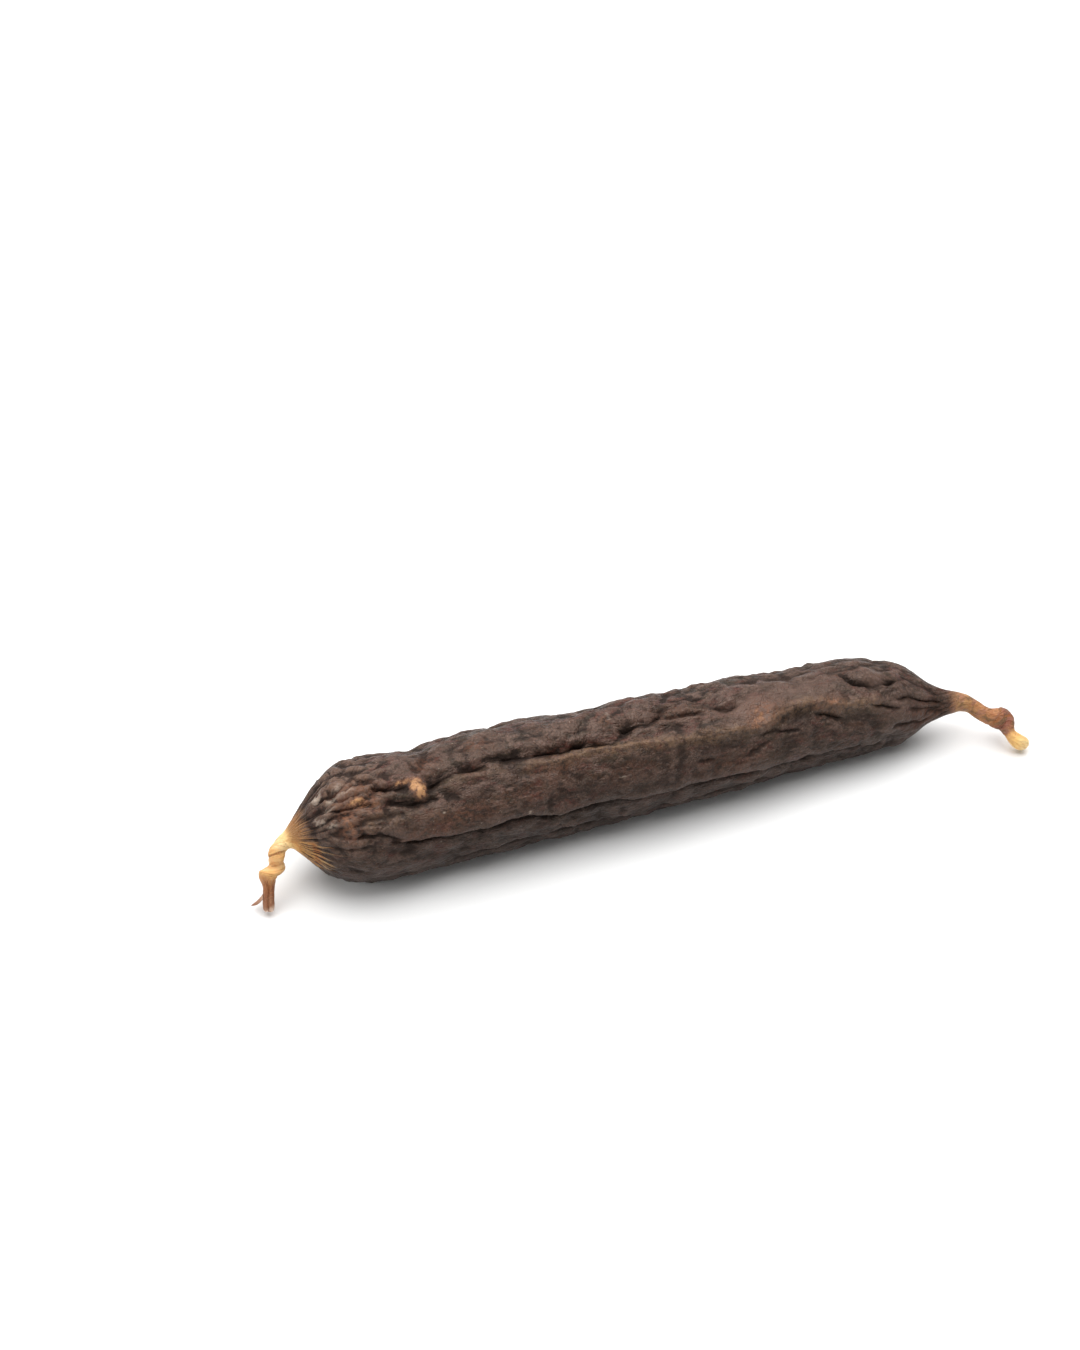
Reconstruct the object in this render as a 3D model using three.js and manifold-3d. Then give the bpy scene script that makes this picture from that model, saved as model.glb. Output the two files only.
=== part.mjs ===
// A dry-cured sausage: minced meat in a natural casing, dried until the casing has shrunk into
// long furrows. Each end is pinched shut and runs out into a short twisted tail of bare casing.
// The casing has dried onto the meat, so the sausage is one solid.
//
// Frame, in millimetres: +X along the sausage towards its thinner end, -Y is the side with the
// long seam, +Z up. The origin is on the flat that the sausage rests on, under its middle.
import * as THREE from "three";
import { mergeVertices } from "three/addons/utils/BufferGeometryUtils.js";
import Module from "manifold-3d";

const BODY_LENGTH = 140; // from one pinch of the casing to the other
const LEFT_TAIL_LENGTH = 15;
const RIGHT_TAIL_LENGTH = 19;
const TOTAL_LENGTH = LEFT_TAIL_LENGTH + BODY_LENGTH + RIGHT_TAIL_LENGTH;
const GIRTH_SIDES = 40;
const STEPS_PER_PROFILE_STRETCH = 2;

// Centreline from the cut end of the left tail to the cut end of the right one: x, y, z.
// The body lies on z = 0, and both tails droop and curl towards -Y until they touch it.
const CENTRELINE = [
  [-76.4, -8.6, 1.2],
  [-75.6, -6.0, 3.6],
  [-74.9, -4.1, 5.6],
  [-73.9, -3.0, 7.0],
  [-73.0, -1.9, 8.5],
  [-71.8, -0.7, 10.0],
  [-70, 0, 10.8],
  [-60, -0.2, 11.4],
  [-42, -0.1, 11.7],
  [-28, 0.3, 11.9],
  [-14, 0.9, 11.5],
  [0, 1.2, 11.3],
  [14, 1.8, 11.1],
  [28, 2.6, 10.6],
  [42, 3.3, 9.9],
  [51, 3.4, 9.5],
  [60, 2.3, 9.1],
  [66, 0.8, 8.7],
  [70, 0, 8.5],
  [72, -0.6, 8.3],
  [74.1, -1.7, 7.8],
  [76.1, -3.2, 6.9],
  [78, -4.3, 5.9],
  [80.1, -5.2, 5.0],
  [81.1, -6.7, 3.9],
  [82.2, -8.5, 2.6],
  [83.4, -9.9, 1.3],
];

// Radius along the centreline: distance from the left pinch, radius.
const PROFILE = [
  [-14.9, 0.9],
  [-12, 1.15],
  [-9.5, 1.3],
  [-6.8, 2.1],
  [-4.2, 1.6],
  [-1.5, 1.65],
  [1, 2.6],
  [4.2, 6.2],
  [8.4, 10],
  [12, 11.7],
  [18, 12.5],
  [28, 12.3],
  [42, 12.5],
  [56, 12.1],
  [70, 11.9],
  [84, 11.6],
  [98, 11],
  [112, 10.3],
  [121, 9.8],
  [127, 8.4],
  [131.6, 6.4],
  [135, 4.1],
  [138.5, 2.3],
  [142, 1.7],
  [147, 1.65],
  [150, 1.8],
  [152.3, 2.35],
  [154.4, 1.7],
  [156.5, 1.4],
  [158.9, 1.1],
];

// Long furrows in the dried casing. Each runs through points of distance from the left pinch and
// angle round the girth in degrees, where 0 faces -Y and 90 is the top.
const FURROWS = [
  { name: "seam", depth: 0.9, width: 2.2, path: [[14, 31], [22, 16], [44, 16], [70, 8], [120, -6]] },
  { name: "shoulder", depth: 0.9, width: 2.4, path: [[27, 62], [35, 73], [55, 73], [68, 73], [79, 100]] },
  { name: "left dimple", depth: 1.0, width: 2.2, path: [[17, 57], [22, 54], [31, 49]] },
  { name: "left fold", depth: 0.9, width: 2.2, path: [[8, 86], [17, 76], [24, 66]] },
  { name: "right dimple", depth: 0.8, width: 2.2, path: [[115, 95], [120, 75], [130, 88]] },
  { name: "crown", depth: 0.8, width: 2.4, path: [[20, 118], [50, 125], [86, 112], [120, 128]] },
  { name: "back upper", depth: 0.9, width: 2.6, path: [[10, 160], [45, 168], [80, 152], [125, 160]] },
  { name: "back lower", depth: 0.9, width: 2.6, path: [[15, 205], [50, 196], [95, 208], [128, 198]] },
];

const END_PLEATS = 10; // gathers of casing round each pinch
const PLEAT_DEPTH = 0.35;
const PLEAT_REACH = 11; // distance from a pinch over which its gathers fade out

// A thin sliver of torn casing that sticks out beside the left tail's cut end.
const SLIVER = { from: [-76.0, -6.6, 2.6], to: [-79.8, -5.9, 0.7], thick: 0.45, thin: 0.2, sides: 8 };

const casing = new THREE.MeshStandardMaterial({
  name: "casing",
  color: 0x4a3a33,
  roughness: 0.55,
  metalness: 0,
});

const smoothstep = THREE.MathUtils.smoothstep;
const degrees = THREE.MathUtils.radToDeg;

// Points along the centreline, each with its tangent and an up direction that is carried from the
// middle of the body towards both ends without rolling about the centreline.
function carryFrames(curve, count) {
  const frames = Array.from({ length: count + 1 }, (_, i) => ({
    point: curve.getPointAt(i / count),
    along: curve.getTangentAt(i / count),
    up: new THREE.Vector3(0, 0, 1),
  }));
  const levelled = (up, along) => up.clone().addScaledVector(along, -up.dot(along)).normalize();
  const middle = Math.round(count / 2);
  frames[middle].up = levelled(frames[middle].up, frames[middle].along);
  for (let i = middle + 1; i <= count; i++) {
    frames[i].up = levelled(frames[i - 1].up, frames[i].along);
  }
  for (let i = middle - 1; i >= 0; i--) {
    frames[i].up = levelled(frames[i + 1].up, frames[i].along);
  }
  return frames;
}

// The angle of a furrow at a distance along the body, eased from one of its points to the next.
function furrowAngle(path, distance) {
  const next = path.findIndex(([at]) => at >= distance);
  const [x0, a0] = path[next - 1];
  const [x1, a1] = path[next];
  return a0 + (a1 - a0) * smoothstep(distance, x0, x1);
}

// How far the surface lies below the plain profile, for all furrows together.
function furrowDepth(distance, angle, radius) {
  let depth = 0;
  for (const furrow of FURROWS) {
    const start = furrow.path[0][0];
    const end = furrow.path.at(-1)[0];
    if (distance <= start || distance >= end) continue;
    let turn = angle - furrowAngle(furrow.path, distance);
    turn -= 360 * Math.round(turn / 360);
    const across = THREE.MathUtils.degToRad(turn) * radius;
    const fade = smoothstep(distance, start, start + 5) * (1 - smoothstep(distance, end - 5, end));
    depth += furrow.depth * fade * Math.exp(-((across / furrow.width) ** 2));
  }
  return depth;
}

// The height of the gathers round both pinches, above or below the plain profile.
function pleatHeight(distance, angle) {
  const fromPinch = Math.min(distance, BODY_LENGTH - distance);
  if (fromPinch < 0) return 0;
  const strength = smoothstep(fromPinch, 0, 4) * (1 - smoothstep(fromPinch, 4, PLEAT_REACH));
  return PLEAT_DEPTH * strength * Math.cos(THREE.MathUtils.degToRad(angle) * END_PLEATS);
}

// The profile turned round a straight axis, with both cut ends closed on the axis.
function turnedBlank() {
  const spline = new THREE.SplineCurve(PROFILE.map(([at, radius]) => new THREE.Vector2(radius, at)));
  const outline = spline.getPoints((PROFILE.length - 1) * STEPS_PER_PROFILE_STRETCH);
  outline.unshift(new THREE.Vector2(0, -LEFT_TAIL_LENGTH));
  outline.push(new THREE.Vector2(0, BODY_LENGTH + RIGHT_TAIL_LENGTH));
  return new THREE.LatheGeometry(outline, GIRTH_SIDES);
}

// Furrows the blank, lays it along the centreline and flattens what would lie below the table.
function layAlongCentreline(geometry) {
  const curve = new THREE.CatmullRomCurve3(
    CENTRELINE.map((point) => new THREE.Vector3(...point)),
    false,
    "centripetal",
  );
  const frames = carryFrames(curve, TOTAL_LENGTH * 4);
  const position = geometry.getAttribute("position");
  const front = new THREE.Vector3();
  const placed = new THREE.Vector3();
  for (let i = 0; i < position.count; i++) {
    const distance = position.getY(i);
    const plain = Math.hypot(position.getX(i), position.getZ(i));
    const turn = Math.atan2(position.getZ(i), position.getX(i));
    const onAxis = plain < 1e-6;
    const relief = pleatHeight(distance, degrees(turn)) - furrowDepth(distance, degrees(turn), plain);
    const radius = onAxis ? 0 : plain + relief;
    const share = THREE.MathUtils.clamp((distance + LEFT_TAIL_LENGTH) / TOTAL_LENGTH, 0, 1);
    const frame = frames[Math.round(share * (frames.length - 1))];
    front.crossVectors(frame.along, frame.up);
    placed.copy(frame.point);
    placed.addScaledVector(front, radius * Math.cos(turn));
    placed.addScaledVector(frame.up, radius * Math.sin(turn));
    position.setXYZ(i, placed.x, placed.y, Math.max(placed.z, 0));
  }
  return geometry;
}

// The sliver of casing: a thin cone between its two points.
function sliverGeometry() {
  const from = new THREE.Vector3(...SLIVER.from);
  const to = new THREE.Vector3(...SLIVER.to);
  const way = to.clone().sub(from);
  const geometry = new THREE.CylinderGeometry(SLIVER.thin, SLIVER.thick, way.length(), SLIVER.sides);
  const turn = new THREE.Quaternion().setFromUnitVectors(
    new THREE.Vector3(0, 1, 0),
    way.clone().normalize(),
  );
  geometry.applyQuaternion(turn);
  const middle = from.add(to).multiplyScalar(0.5);
  return geometry.translate(middle.x, middle.y, middle.z);
}

const wasm = await Module();
wasm.setup();

// A three.js geometry as a manifold-3d solid.
function solidOf(geometry) {
  const bare = geometry.clone();
  bare.deleteAttribute("normal");
  bare.deleteAttribute("uv");
  const merged = mergeVertices(bare, 1e-4);
  return new wasm.Manifold(
    new wasm.Mesh({
      numProp: 3,
      vertProperties: new Float32Array(merged.getAttribute("position").array),
      triVerts: new Uint32Array(merged.index.array),
    }),
  );
}

// A manifold-3d solid as a three.js geometry.
function geometryOf(solid) {
  const mesh = solid.getMesh();
  const geometry = new THREE.BufferGeometry();
  geometry.setAttribute("position", new THREE.BufferAttribute(mesh.vertProperties, 3));
  geometry.setIndex(new THREE.BufferAttribute(mesh.triVerts, 1));
  geometry.computeVertexNormals();
  return geometry;
}

function makeSausage() {
  const body = solidOf(layAlongCentreline(turnedBlank()));
  const whole = body.add(solidOf(sliverGeometry()));
  const sausage = new THREE.Mesh(geometryOf(whole), casing);
  sausage.name = "sausage";
  return sausage;
}

const curedSausage = new THREE.Group();
curedSausage.add(makeSausage());

export default curedSausage;
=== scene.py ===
"""A short dry-cured sausage, lying at rest: dark furrowed casing and two twisted tails of bare gut.

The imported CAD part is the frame. The casing is modelled on a chart of the straight sausage, with the
distance along it and the angle round it, and is then laid along the bent centreline. Lengths are in
millimetres until the mesh is finished, and in metres in the scene.
"""

import logging
import math
from dataclasses import dataclass, field
from enum import Enum

import bmesh
import bpy
import numpy as np
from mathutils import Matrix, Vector


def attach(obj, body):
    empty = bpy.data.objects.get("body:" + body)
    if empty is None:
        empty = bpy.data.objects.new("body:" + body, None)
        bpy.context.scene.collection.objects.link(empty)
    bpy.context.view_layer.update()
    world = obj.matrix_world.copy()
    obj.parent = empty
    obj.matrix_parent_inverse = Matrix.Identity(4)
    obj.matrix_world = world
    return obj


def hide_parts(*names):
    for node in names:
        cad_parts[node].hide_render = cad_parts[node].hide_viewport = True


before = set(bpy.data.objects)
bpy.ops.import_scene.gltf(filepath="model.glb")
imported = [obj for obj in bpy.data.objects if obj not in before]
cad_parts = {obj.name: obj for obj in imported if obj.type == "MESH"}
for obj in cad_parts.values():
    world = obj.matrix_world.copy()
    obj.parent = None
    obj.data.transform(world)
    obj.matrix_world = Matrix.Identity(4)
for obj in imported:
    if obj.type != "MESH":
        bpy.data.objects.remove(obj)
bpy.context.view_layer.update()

Array = np.ndarray
Path = tuple[tuple[float, float], ...]
Colour = tuple[float, float, float]
Socket = bpy.types.NodeSocket

MM = 0.001
LEFT_TAIL = 15.0
BODY = 140.0
RIGHT_TAIL = 19.0
TOTAL = LEFT_TAIL + BODY + RIGHT_TAIL

log = logging.getLogger("sausage")


# ---------------------------------------------------------------------------------- curves and noise


def smoothstep(value: Array, low: float, high: float) -> Array:
    """Ease from 0 at low to 1 at high.

    Args:
        value: Where to evaluate.
        low: The value that gives 0.
        high: The value that gives 1.

    Returns:
        The eased share, the same shape as value.
    """
    share = np.clip((value - low) / (high - low), 0.0, 1.0)
    return share * share * (3.0 - 2.0 * share)


def through(points: Array, steps: int) -> Array:
    """Lay a centripetal Catmull-Rom curve through points.

    Args:
        points: One point a row, of any dimension.
        steps: Samples in each span.

    Returns:
        The sampled curve, one point a row.
    """
    ends = np.vstack([2 * points[0] - points[1], points, 2 * points[-1] - points[-2]])
    share = np.linspace(0.0, 1.0, steps, endpoint=False)[:, None]
    spans = []
    for before, start, end, after in zip(ends, ends[1:], ends[2:], ends[3:]):
        gaps = [math.sqrt(np.linalg.norm(b - a)) for a, b in ((before, start), (start, end), (end, after))]
        leave = end - start + gaps[1] * ((start - before) / gaps[0] - (end - before) / (gaps[0] + gaps[1]))
        arrive = end - start + gaps[1] * ((after - end) / gaps[2] - (after - start) / (gaps[1] + gaps[2]))
        cubic = 2 * (start - end) + leave + arrive
        square = -3 * (start - end) - 2 * leave - arrive
        spans.append(cubic * share**3 + square * share**2 + leave * share + start)
    return np.vstack([*spans, points[-1:]])


class GradientNoise:
    """Seeded gradient noise in three dimensions, from about -1 to 1."""

    GAIN = 1.6
    LAYER_SHIFT = 17.0

    def __init__(self, seed: int) -> None:
        """Draw the lattice's gradients.

        Args:
            seed: Fixes the pattern.
        """
        draw = np.random.default_rng(seed)
        self.order = draw.permutation(256)
        gradients = draw.normal(size=(256, 3))
        self.gradients = gradients / np.linalg.norm(gradients, axis=1)[:, None]

    def __call__(self, where: Array) -> Array:
        """Evaluate the noise.

        Args:
            where: Points, with x, y and z on the last axis.

        Returns:
            One value for each point.
        """
        cell = np.floor(where).astype(int)
        inside = where - cell
        fade = inside**3 * (inside * (inside * 6 - 15) + 10)
        total = np.zeros(where.shape[:-1])
        for corner in np.ndindex(2, 2, 2):
            x, y, z = ((cell[..., axis] + corner[axis]) & 255 for axis in range(3))
            pick = self.order[(self.order[(self.order[x] + y) & 255] + z) & 255]
            weight = np.prod(np.where(corner, fade, 1 - fade), axis=-1)
            total += weight * np.sum(self.gradients[pick] * (inside - corner), axis=-1)
        return self.GAIN * total

    def layered(self, where: Array, layers: int) -> Array:
        """Add finer and fainter layers of the noise.

        Args:
            where: Points, with x, y and z on the last axis.
            layers: How many, each twice as fine and half as strong as the last.

        Returns:
            One value for each point.
        """
        scales = [2.0**layer for layer in range(layers)]
        return sum(self(where * by + self.LAYER_SHIFT * layer) / by for layer, by in enumerate(scales))

    def bend(self, where: Array, shifts: tuple[int, int, int]) -> Array:
        """Give a vector of noise, which bends whatever pattern it is added to.

        Args:
            where: Points, with x, y and z on the last axis.
            shifts: How far the noise is moved for each of the vector's three values.

        Returns:
            One vector for each point.
        """
        return np.stack([self(where + shift) for shift in shifts], axis=-1)


# ------------------------------------------------------------------------------------- the casing


@dataclass(frozen=True)
class Crease:
    """A fold in the dried casing, or a ridge where its depth is negative.

    Its path runs through points of distance from the left pinch, in mm, and angle round the girth, in
    degrees, where 0 faces the front and 90 is the top. Below and above are the widths of its two sides.
    Its upper side may swell into a lip, and may be tucked over the fold by some mm. A step sinks the
    casing below it.
    """

    path: Path
    depth: float
    below: float = 0.5
    above: float = 0.6
    lip: float = 0.0
    ends: float = 2.2
    tuck: float = 0.0
    step: float = 0.0


# The long seam-like crease low on the front, and its short start on the left end.
SEAM = (
    Crease(
        ((11.6, 30), (13.5, 33), (16, 31), (18, 27), (19.7, 22), (20.8, 19.5)),
        1.6, 0.45, 0.7, 0.4, 2.0, 0.35, 0.3,
    ),
    Crease(
        ((17.4, 21), (19.2, 18), (21.5, 16), (25, 14.5), (28, 12), (32, 10.5), (37, 10.5), (41, 12),
         (45, 12), (48, 7.5), (51, 4), (56, 6), (61, 7), (65, 5), (69, 1), (73, 3.5), (78, 1)),
        1.2, 0.34, 0.5, 0.35, 2.5, 0.35, 0.6,
    ),
    Crease(
        ((70, 2), (78, 1), (84, -0.5), (90, -2), (96, -4), (100, -6), (105, -8), (110, -8), (114, -10),
         (118, -14), (124, -20)),
        1.1, 0.38, 0.55, 0.3, 3.0, 0.3, 0.55,
    ),
    Crease(((20.5, 17), (23, 15.5), (26, 14), (29, 11.5)), 0.5),
    Crease(((38, 11), (42, 12.3), (45.5, 11.5), (49, 6), (51.5, 4)), 0.45),
    Crease(((102.5, -7), (104.5, -7.8), (107, -8)), 0.8, 0.7, 0.8),
    Crease(((19.2, 5.5), (21, 7), (22.6, 7.2), (23.6, 10)), 0.35),
    Crease(((23.5, 1), (22.9, -7)), 0.3),
    Crease(((45.7, -22), (46.8, -14), (47.3, -6)), 0.35, 0.9, 0.9),
    Crease(((59, -7), (60.3, -15), (60.8, -24)), 0.4, 1.0, 1.0),
)

# The rolled folds along the shoulder, whose upper sides bulge over them.
SHOULDER = (
    Crease(
        ((26.2, 57), (27.3, 62), (28.5, 66.5), (31, 68), (33, 70.5), (34.7, 72), (38, 70.5),
         (40.3, 75), (43, 73.5), (46, 73), (48.5, 69.5), (52, 70), (55, 69), (57.3, 71), (60.5, 73)),
        1.25, 0.4, 1.5, 0.75, 3.0, 0.6, 0.45,
    ),
    Crease(((37.5, 78), (40.6, 76), (43.5, 75), (48.5, 73)), 0.4, 0.5, 2.2, 0.45, 4.0, 0.5),
    Crease(((48, 70), (53, 71), (57, 72), (60.8, 75)), 0.7, 0.5, 2.3, 0.6, 4.0, 0.7),
    Crease(
        ((57, 69.8), (60, 68), (63, 66), (65.2, 64), (66.5, 67), (68, 71.5), (69.8, 74.5)),
        1.0, 0.4, 1.2, 0.4, 1.8, 0.4,
    ),
    Crease(((65, 63), (67, 61.5), (69.5, 64), (71, 64)), 0.35),
    Crease(
        ((66.5, 77.5), (69, 79), (71.2, 78), (73.6, 78.5), (75.5, 83), (76.8, 88), (78, 93), (78.6, 97)),
        1.5, 0.45, 1.7, 0.75, 3.0, 0.7, 0.3,
    ),
    Crease(((77.6, 98), (78.4, 105), (79.4, 114), (80.4, 126)), 0.5, 0.7, 1.0),
    Crease(((75.8, 81.5), (79, 79), (82, 76), (85.2, 75)), 0.7, 0.3, 0.45, 0.15),
    Crease(((85.4, 80), (88, 75.5), (90.2, 73), (92.8, 75)), 1.0, 0.4, 1.0, 0.35, 2.2, 0.3),
    Crease(
        ((82, 110), (82.8, 103), (84, 98), (85.6, 97), (87, 101), (89.3, 107)),
        0.55, 0.8, 1.5, 0.25, 3.0, 0.2,
    ),
    Crease(((83, 101), (84.2, 97), (85.6, 96.5)), 0.6, 0.5, 0.9, 0.1),
    Crease(
        ((115.6, 96), (116.2, 84), (117, 76), (118.6, 70.5), (121.5, 67.5)),
        1.15, 0.35, 0.75, 0.35, 2.0, 0.35,
    ),
    Crease(((118.5, 69.5), (121, 67), (123.5, 70), (126, 73), (129, 81)), 0.5, 0.35, 0.7, 0.3, 2.5, 0.2),
    Crease(((123.4, 70.5), (125, 72.5), (127, 73)), 0.8, 0.35, 0.6, 0.2, 1.4, 0.2),
    Crease(((115, 60.5), (116.5, 59), (118, 58)), 0.35),
    Crease(((34.1, 89), (36, 92), (38, 96.5)), 0.5, 0.6, 0.8),
)

# Gathers and folds on the left end.
LEFT_END = (
    Crease(
        ((4.8, 74), (7.5, 68), (10, 65), (12, 62.5), (14, 61.5), (17.3, 59)),
        1.1, 0.4, 0.7, 0.4, 3.0, 0.3,
    ),
    Crease(
        ((5.2, 90), (8.5, 88), (10.5, 85), (12, 82), (13.5, 84), (15.5, 83.5), (17.9, 80.5)),
        0.95, 0.45, 0.7, 0.35, 3.0, 0.25,
    ),
    Crease(((9, 74), (12, 73), (15, 74), (18, 72)), 0.7, 0.4, 0.5, 0.3, 3.0, 0.2),
    Crease(((6, 58), (10, 55.5), (14, 56)), 0.55, 0.4, 0.5, 0.25, 3.0, 0.1),
    Crease(((16.2, 76.5), (18.5, 74), (20.5, 72), (22, 69.5), (24.0, 66.5)), 1.5, 0.6, 1.0, 0.4, 1.6, 0.4),
    Crease(
        ((17.6, 57.5), (19.5, 57), (21.5, 55), (24, 51.5), (26.2, 49.7), (27.5, 51), (29.3, 50.5)),
        1.5, 0.5, 1.2, 0.3, 2.0, 0.35,
    ),
    Crease(((28, 51.5), (31.5, 48.5), (34.3, 44.5)), 0.55, 0.5, 0.8, 0.1, 3.0),
    Crease(
        ((23.2, 79), (25.2, 81.5), (26.8, 85), (27.7, 90), (28.2, 97), (28.9, 102), (30.2, 107)),
        0.8, 0.5, 0.9, 0.15, 3.0,
    ),
    Crease(((26.6, 62), (28.3, 66), (29.0, 70)), 0.5, 0.8, 1.0),
    Crease(((14.8, 96.5), (16.5, 100), (18.4, 103.5)), 0.7, 0.7, 0.9),
    Crease(((11.5, 103), (13, 106)), 0.35),
    Crease(((5.6, 26.5), (8.3, 24), (10, 20.5), (13, 21), (15.2, 19.5)), 0.45, 0.4, 0.4, 0.1, 3.0),
    Crease(((8, -6.5), (11, -8.5), (13.6, -8)), 0.4),
    Crease(((18.1, 46.5), (18.3, 56), (18.5, 63)), 0.5, 0.35, 0.35, 0.15),
    Crease(((6, 40), (11, 42), (15.5, 46), (19, 45.5), (23, 46)), 0.5, 0.4, 0.5, 0.2, 3.0),
)

# Short dents and the gathers on the thinner right end.
RIGHT_END = (
    Crease(((80.2, 29), (83, 26), (85.4, 25)), 0.8, 0.35, 0.45, 0.15),
    Crease(((90.5, 19.5), (93, 22.5), (95, 27), (97.8, 32)), 0.6, 0.35, 0.5, 0.25, 3.0, 0.15),
    Crease(((93.6, 36), (97, 39.5), (99.5, 37.5), (104, 33)), 0.7, 0.35, 0.45, 0.3, 3.0, 0.2),
    Crease(((107, 48.5), (109.5, 45), (111, 40.5), (113.4, 35)), 1.1, 0.35, 0.45, 0.4, 1.4, 0.3),
    Crease(((120, 46.5), (123, 42), (125, 39), (127.8, 33.5)), 1.0, 0.35, 0.45, 0.35, 1.4, 0.25),
    Crease(
        ((126.2, 48), (129, 51.5), (131, 49), (133.3, 48), (135.4, 50), (137.3, 44), (138.6, 32)),
        1.1, 0.4, 0.5, 0.3, 2.5, 0.2,
    ),
    Crease(((125, 11), (129, 8), (131.5, 4.5), (134.8, -4)), 0.9, 0.35, 0.5, 0.25, 3.0, 0.2),
    Crease(((133, 22), (136.4, 11), (138.6, -2)), 0.8, 0.35, 0.45, 0.2),
    Crease(((128, 32), (133, 29), (136.5, 25), (139, 15)), 0.7, 0.4, 0.5, 0.2, 3.0),
    Crease(((127, 86), (131, 82), (135, 78), (139, 62)), 0.6, 0.5, 0.6, 0.2, 4.0),
)

# Ridges: the edge between the top and the front, and the lip above the left folds.
RIDGES = (
    Crease(
        ((44, 60), (52, 60), (60, 61.5), (66, 59), (71, 57.5), (75, 54), (80, 51.5), (86, 48.5), (92, 47),
         (95.5, 45)),
        -0.75, 0.6, 1.9, 0.0, 4.0,
    ),
    Crease(
        ((94, 45), (97.5, 50), (100, 56), (104, 60), (108, 58.5), (111, 54), (114, 48.5), (118, 46.5),
         (124, 46.5)),
        -0.8, 0.6, 1.9, 0.0, 3.0,
    ),
    Crease(((29, 60), (33, 65), (38, 65.5), (44, 66.5)), -0.35, 0.9, 1.2, 0.0, 3.0),
    Crease(((11.8, 44), (16, 43), (24, 41), (31, 37)), -0.25, 1.2, 1.2, 0.0, 4.0),
)

# Folds on the back and underneath.
BACK = (
    Crease(((14, 128), (24, 124), (36, 131), (50, 127), (63, 133)), 0.9, 0.7, 1.5, 0.4, 5.0, 0.4),
    Crease(((58, 140), (72, 134), (84, 139), (97, 132), (112, 137)), 0.9, 0.7, 1.4, 0.4, 5.0, 0.4),
    Crease(((9, 158), (22, 163), (38, 156), (55, 160), (68, 154), (80, 157)), 1.1, 0.8, 1.5, 0.45, 5.0, 0.4),
    Crease(((74, 170), (88, 164), (101, 169), (116, 161), (128, 163)), 1.0, 0.8, 1.4, 0.4, 5.0, 0.4),
    Crease(((16, 186), (31, 180), (47, 187), (64, 181), (79, 186), (92, 181)), 1.0, 1.3, 0.8, 0.35, 5.0),
    Crease(((90, 196), (103, 190), (115, 194), (129, 188)), 0.9, 1.3, 0.8, 0.3, 5.0),
    Crease(((20, 212), (40, 208), (58, 214), (82, 207), (106, 212), (122, 207)), 0.9, 1.2, 0.8, 0.2, 5.0),
    Crease(((28, 330), (52, 334), (74, 328), (98, 333)), 0.6, 0.8, 1.0, 0.1, 5.0),
    Crease(((94, 112), (104, 106), (112, 110)), 0.6, 0.7, 1.2, 0.2, 4.0),
    Crease(((44, 108), (53, 112), (62, 106)), 0.45, 0.7, 1.2, 0.2, 4.0),
)

CREASES = SEAM + SHOULDER + LEFT_END + RIGHT_END + RIDGES + BACK


@dataclass(frozen=True)
class Spot:
    """A small soft place on the casing: a raised lump, a hollow, a place with its own colour, or painted
    shade or light.

    Distance and angle say where it is, as on a crease. Length and width are its reach along the sausage
    and round it, in mm. Amount is its height in mm, or how much of the colour shows.
    """

    distance: float
    angle: float
    length: float
    width: float
    amount: float


# Raised lumps, and shallow hollows where the amount is negative.
LUMPS = (
    Spot(25.5, 64.5, 1.2, 1.6, 0.8),
    Spot(22.5, 76.5, 2.6, 1.2, 0.35),
    Spot(12.5, 69, 2.6, 1.1, 0.3),
    Spot(8.5, 56, 2.0, 1.4, 0.2),
    Spot(42, 92, 7.0, 3.0, 0.2),
    Spot(57, 95, 8.0, 3.0, 0.25),
    Spot(44, 82, 3.6, 2.0, -0.2),
    Spot(56.5, 82, 4.6, 2.2, -0.25),
    Spot(72, 92, 4.5, 2.8, 0.4),
    Spot(85.5, 106, 3.0, 2.4, 0.3),
    Spot(121.5, 80, 2.2, 2.6, 0.8),
    Spot(130.5, -38, 3.4, 6.0, 1.0),
    Spot(125.3, -40, 1.5, 5.0, -0.3),
    Spot(125.5, 137, 6.0, 6.5, 0.95),
    Spot(25.5, 137, 4.5, 5.5, -0.85),
    Spot(14, 138, 4.0, 6.0, 0.45),
    Spot(110, 62, 5.0, 1.4, 0.25),
    Spot(117, 50, 4.5, 1.6, 0.3),
    Spot(103, 49, 4.5, 1.8, -0.65),
    Spot(96, 68, 3.0, 2.0, 0.3),
    Spot(66, 33, 16.0, 4.0, 0.2),
    Spot(28, 32, 8.0, 2.6, 0.2),
    Spot(132, 28, 4.0, 3.0, -0.25),
    Spot(20.5, 55, 2.6, 1.4, -0.4),
)

# Tan and rust-brown stains.
STAINS = (
    Spot(25.4, 65.5, 1.5, 2.2, 0.5),
    Spot(25.6, 62.5, 0.8, 1.1, 0.95),
    Spot(24.6, 69.5, 0.8, 1.0, 0.7),
    Spot(13.5, 68, 2.0, 0.8, 0.8),
    Spot(22.5, 75.5, 1.8, 0.5, 0.7),
    Spot(14.5, 62.5, 1.6, 0.5, 0.6),
    Spot(111.6, 56, 1.4, 0.8, 0.36),
    Spot(95.6, 60, 2.8, 2.2, 0.38),
    Spot(93.6, 50, 1.8, 1.0, 0.32),
    Spot(11.0, 47, 1.2, 2.8, 0.42),
    Spot(64.8, 92, 1.8, 1.6, 0.3),
    Spot(16.8, 56, 0.8, 2.0, 0.4),
)

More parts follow.
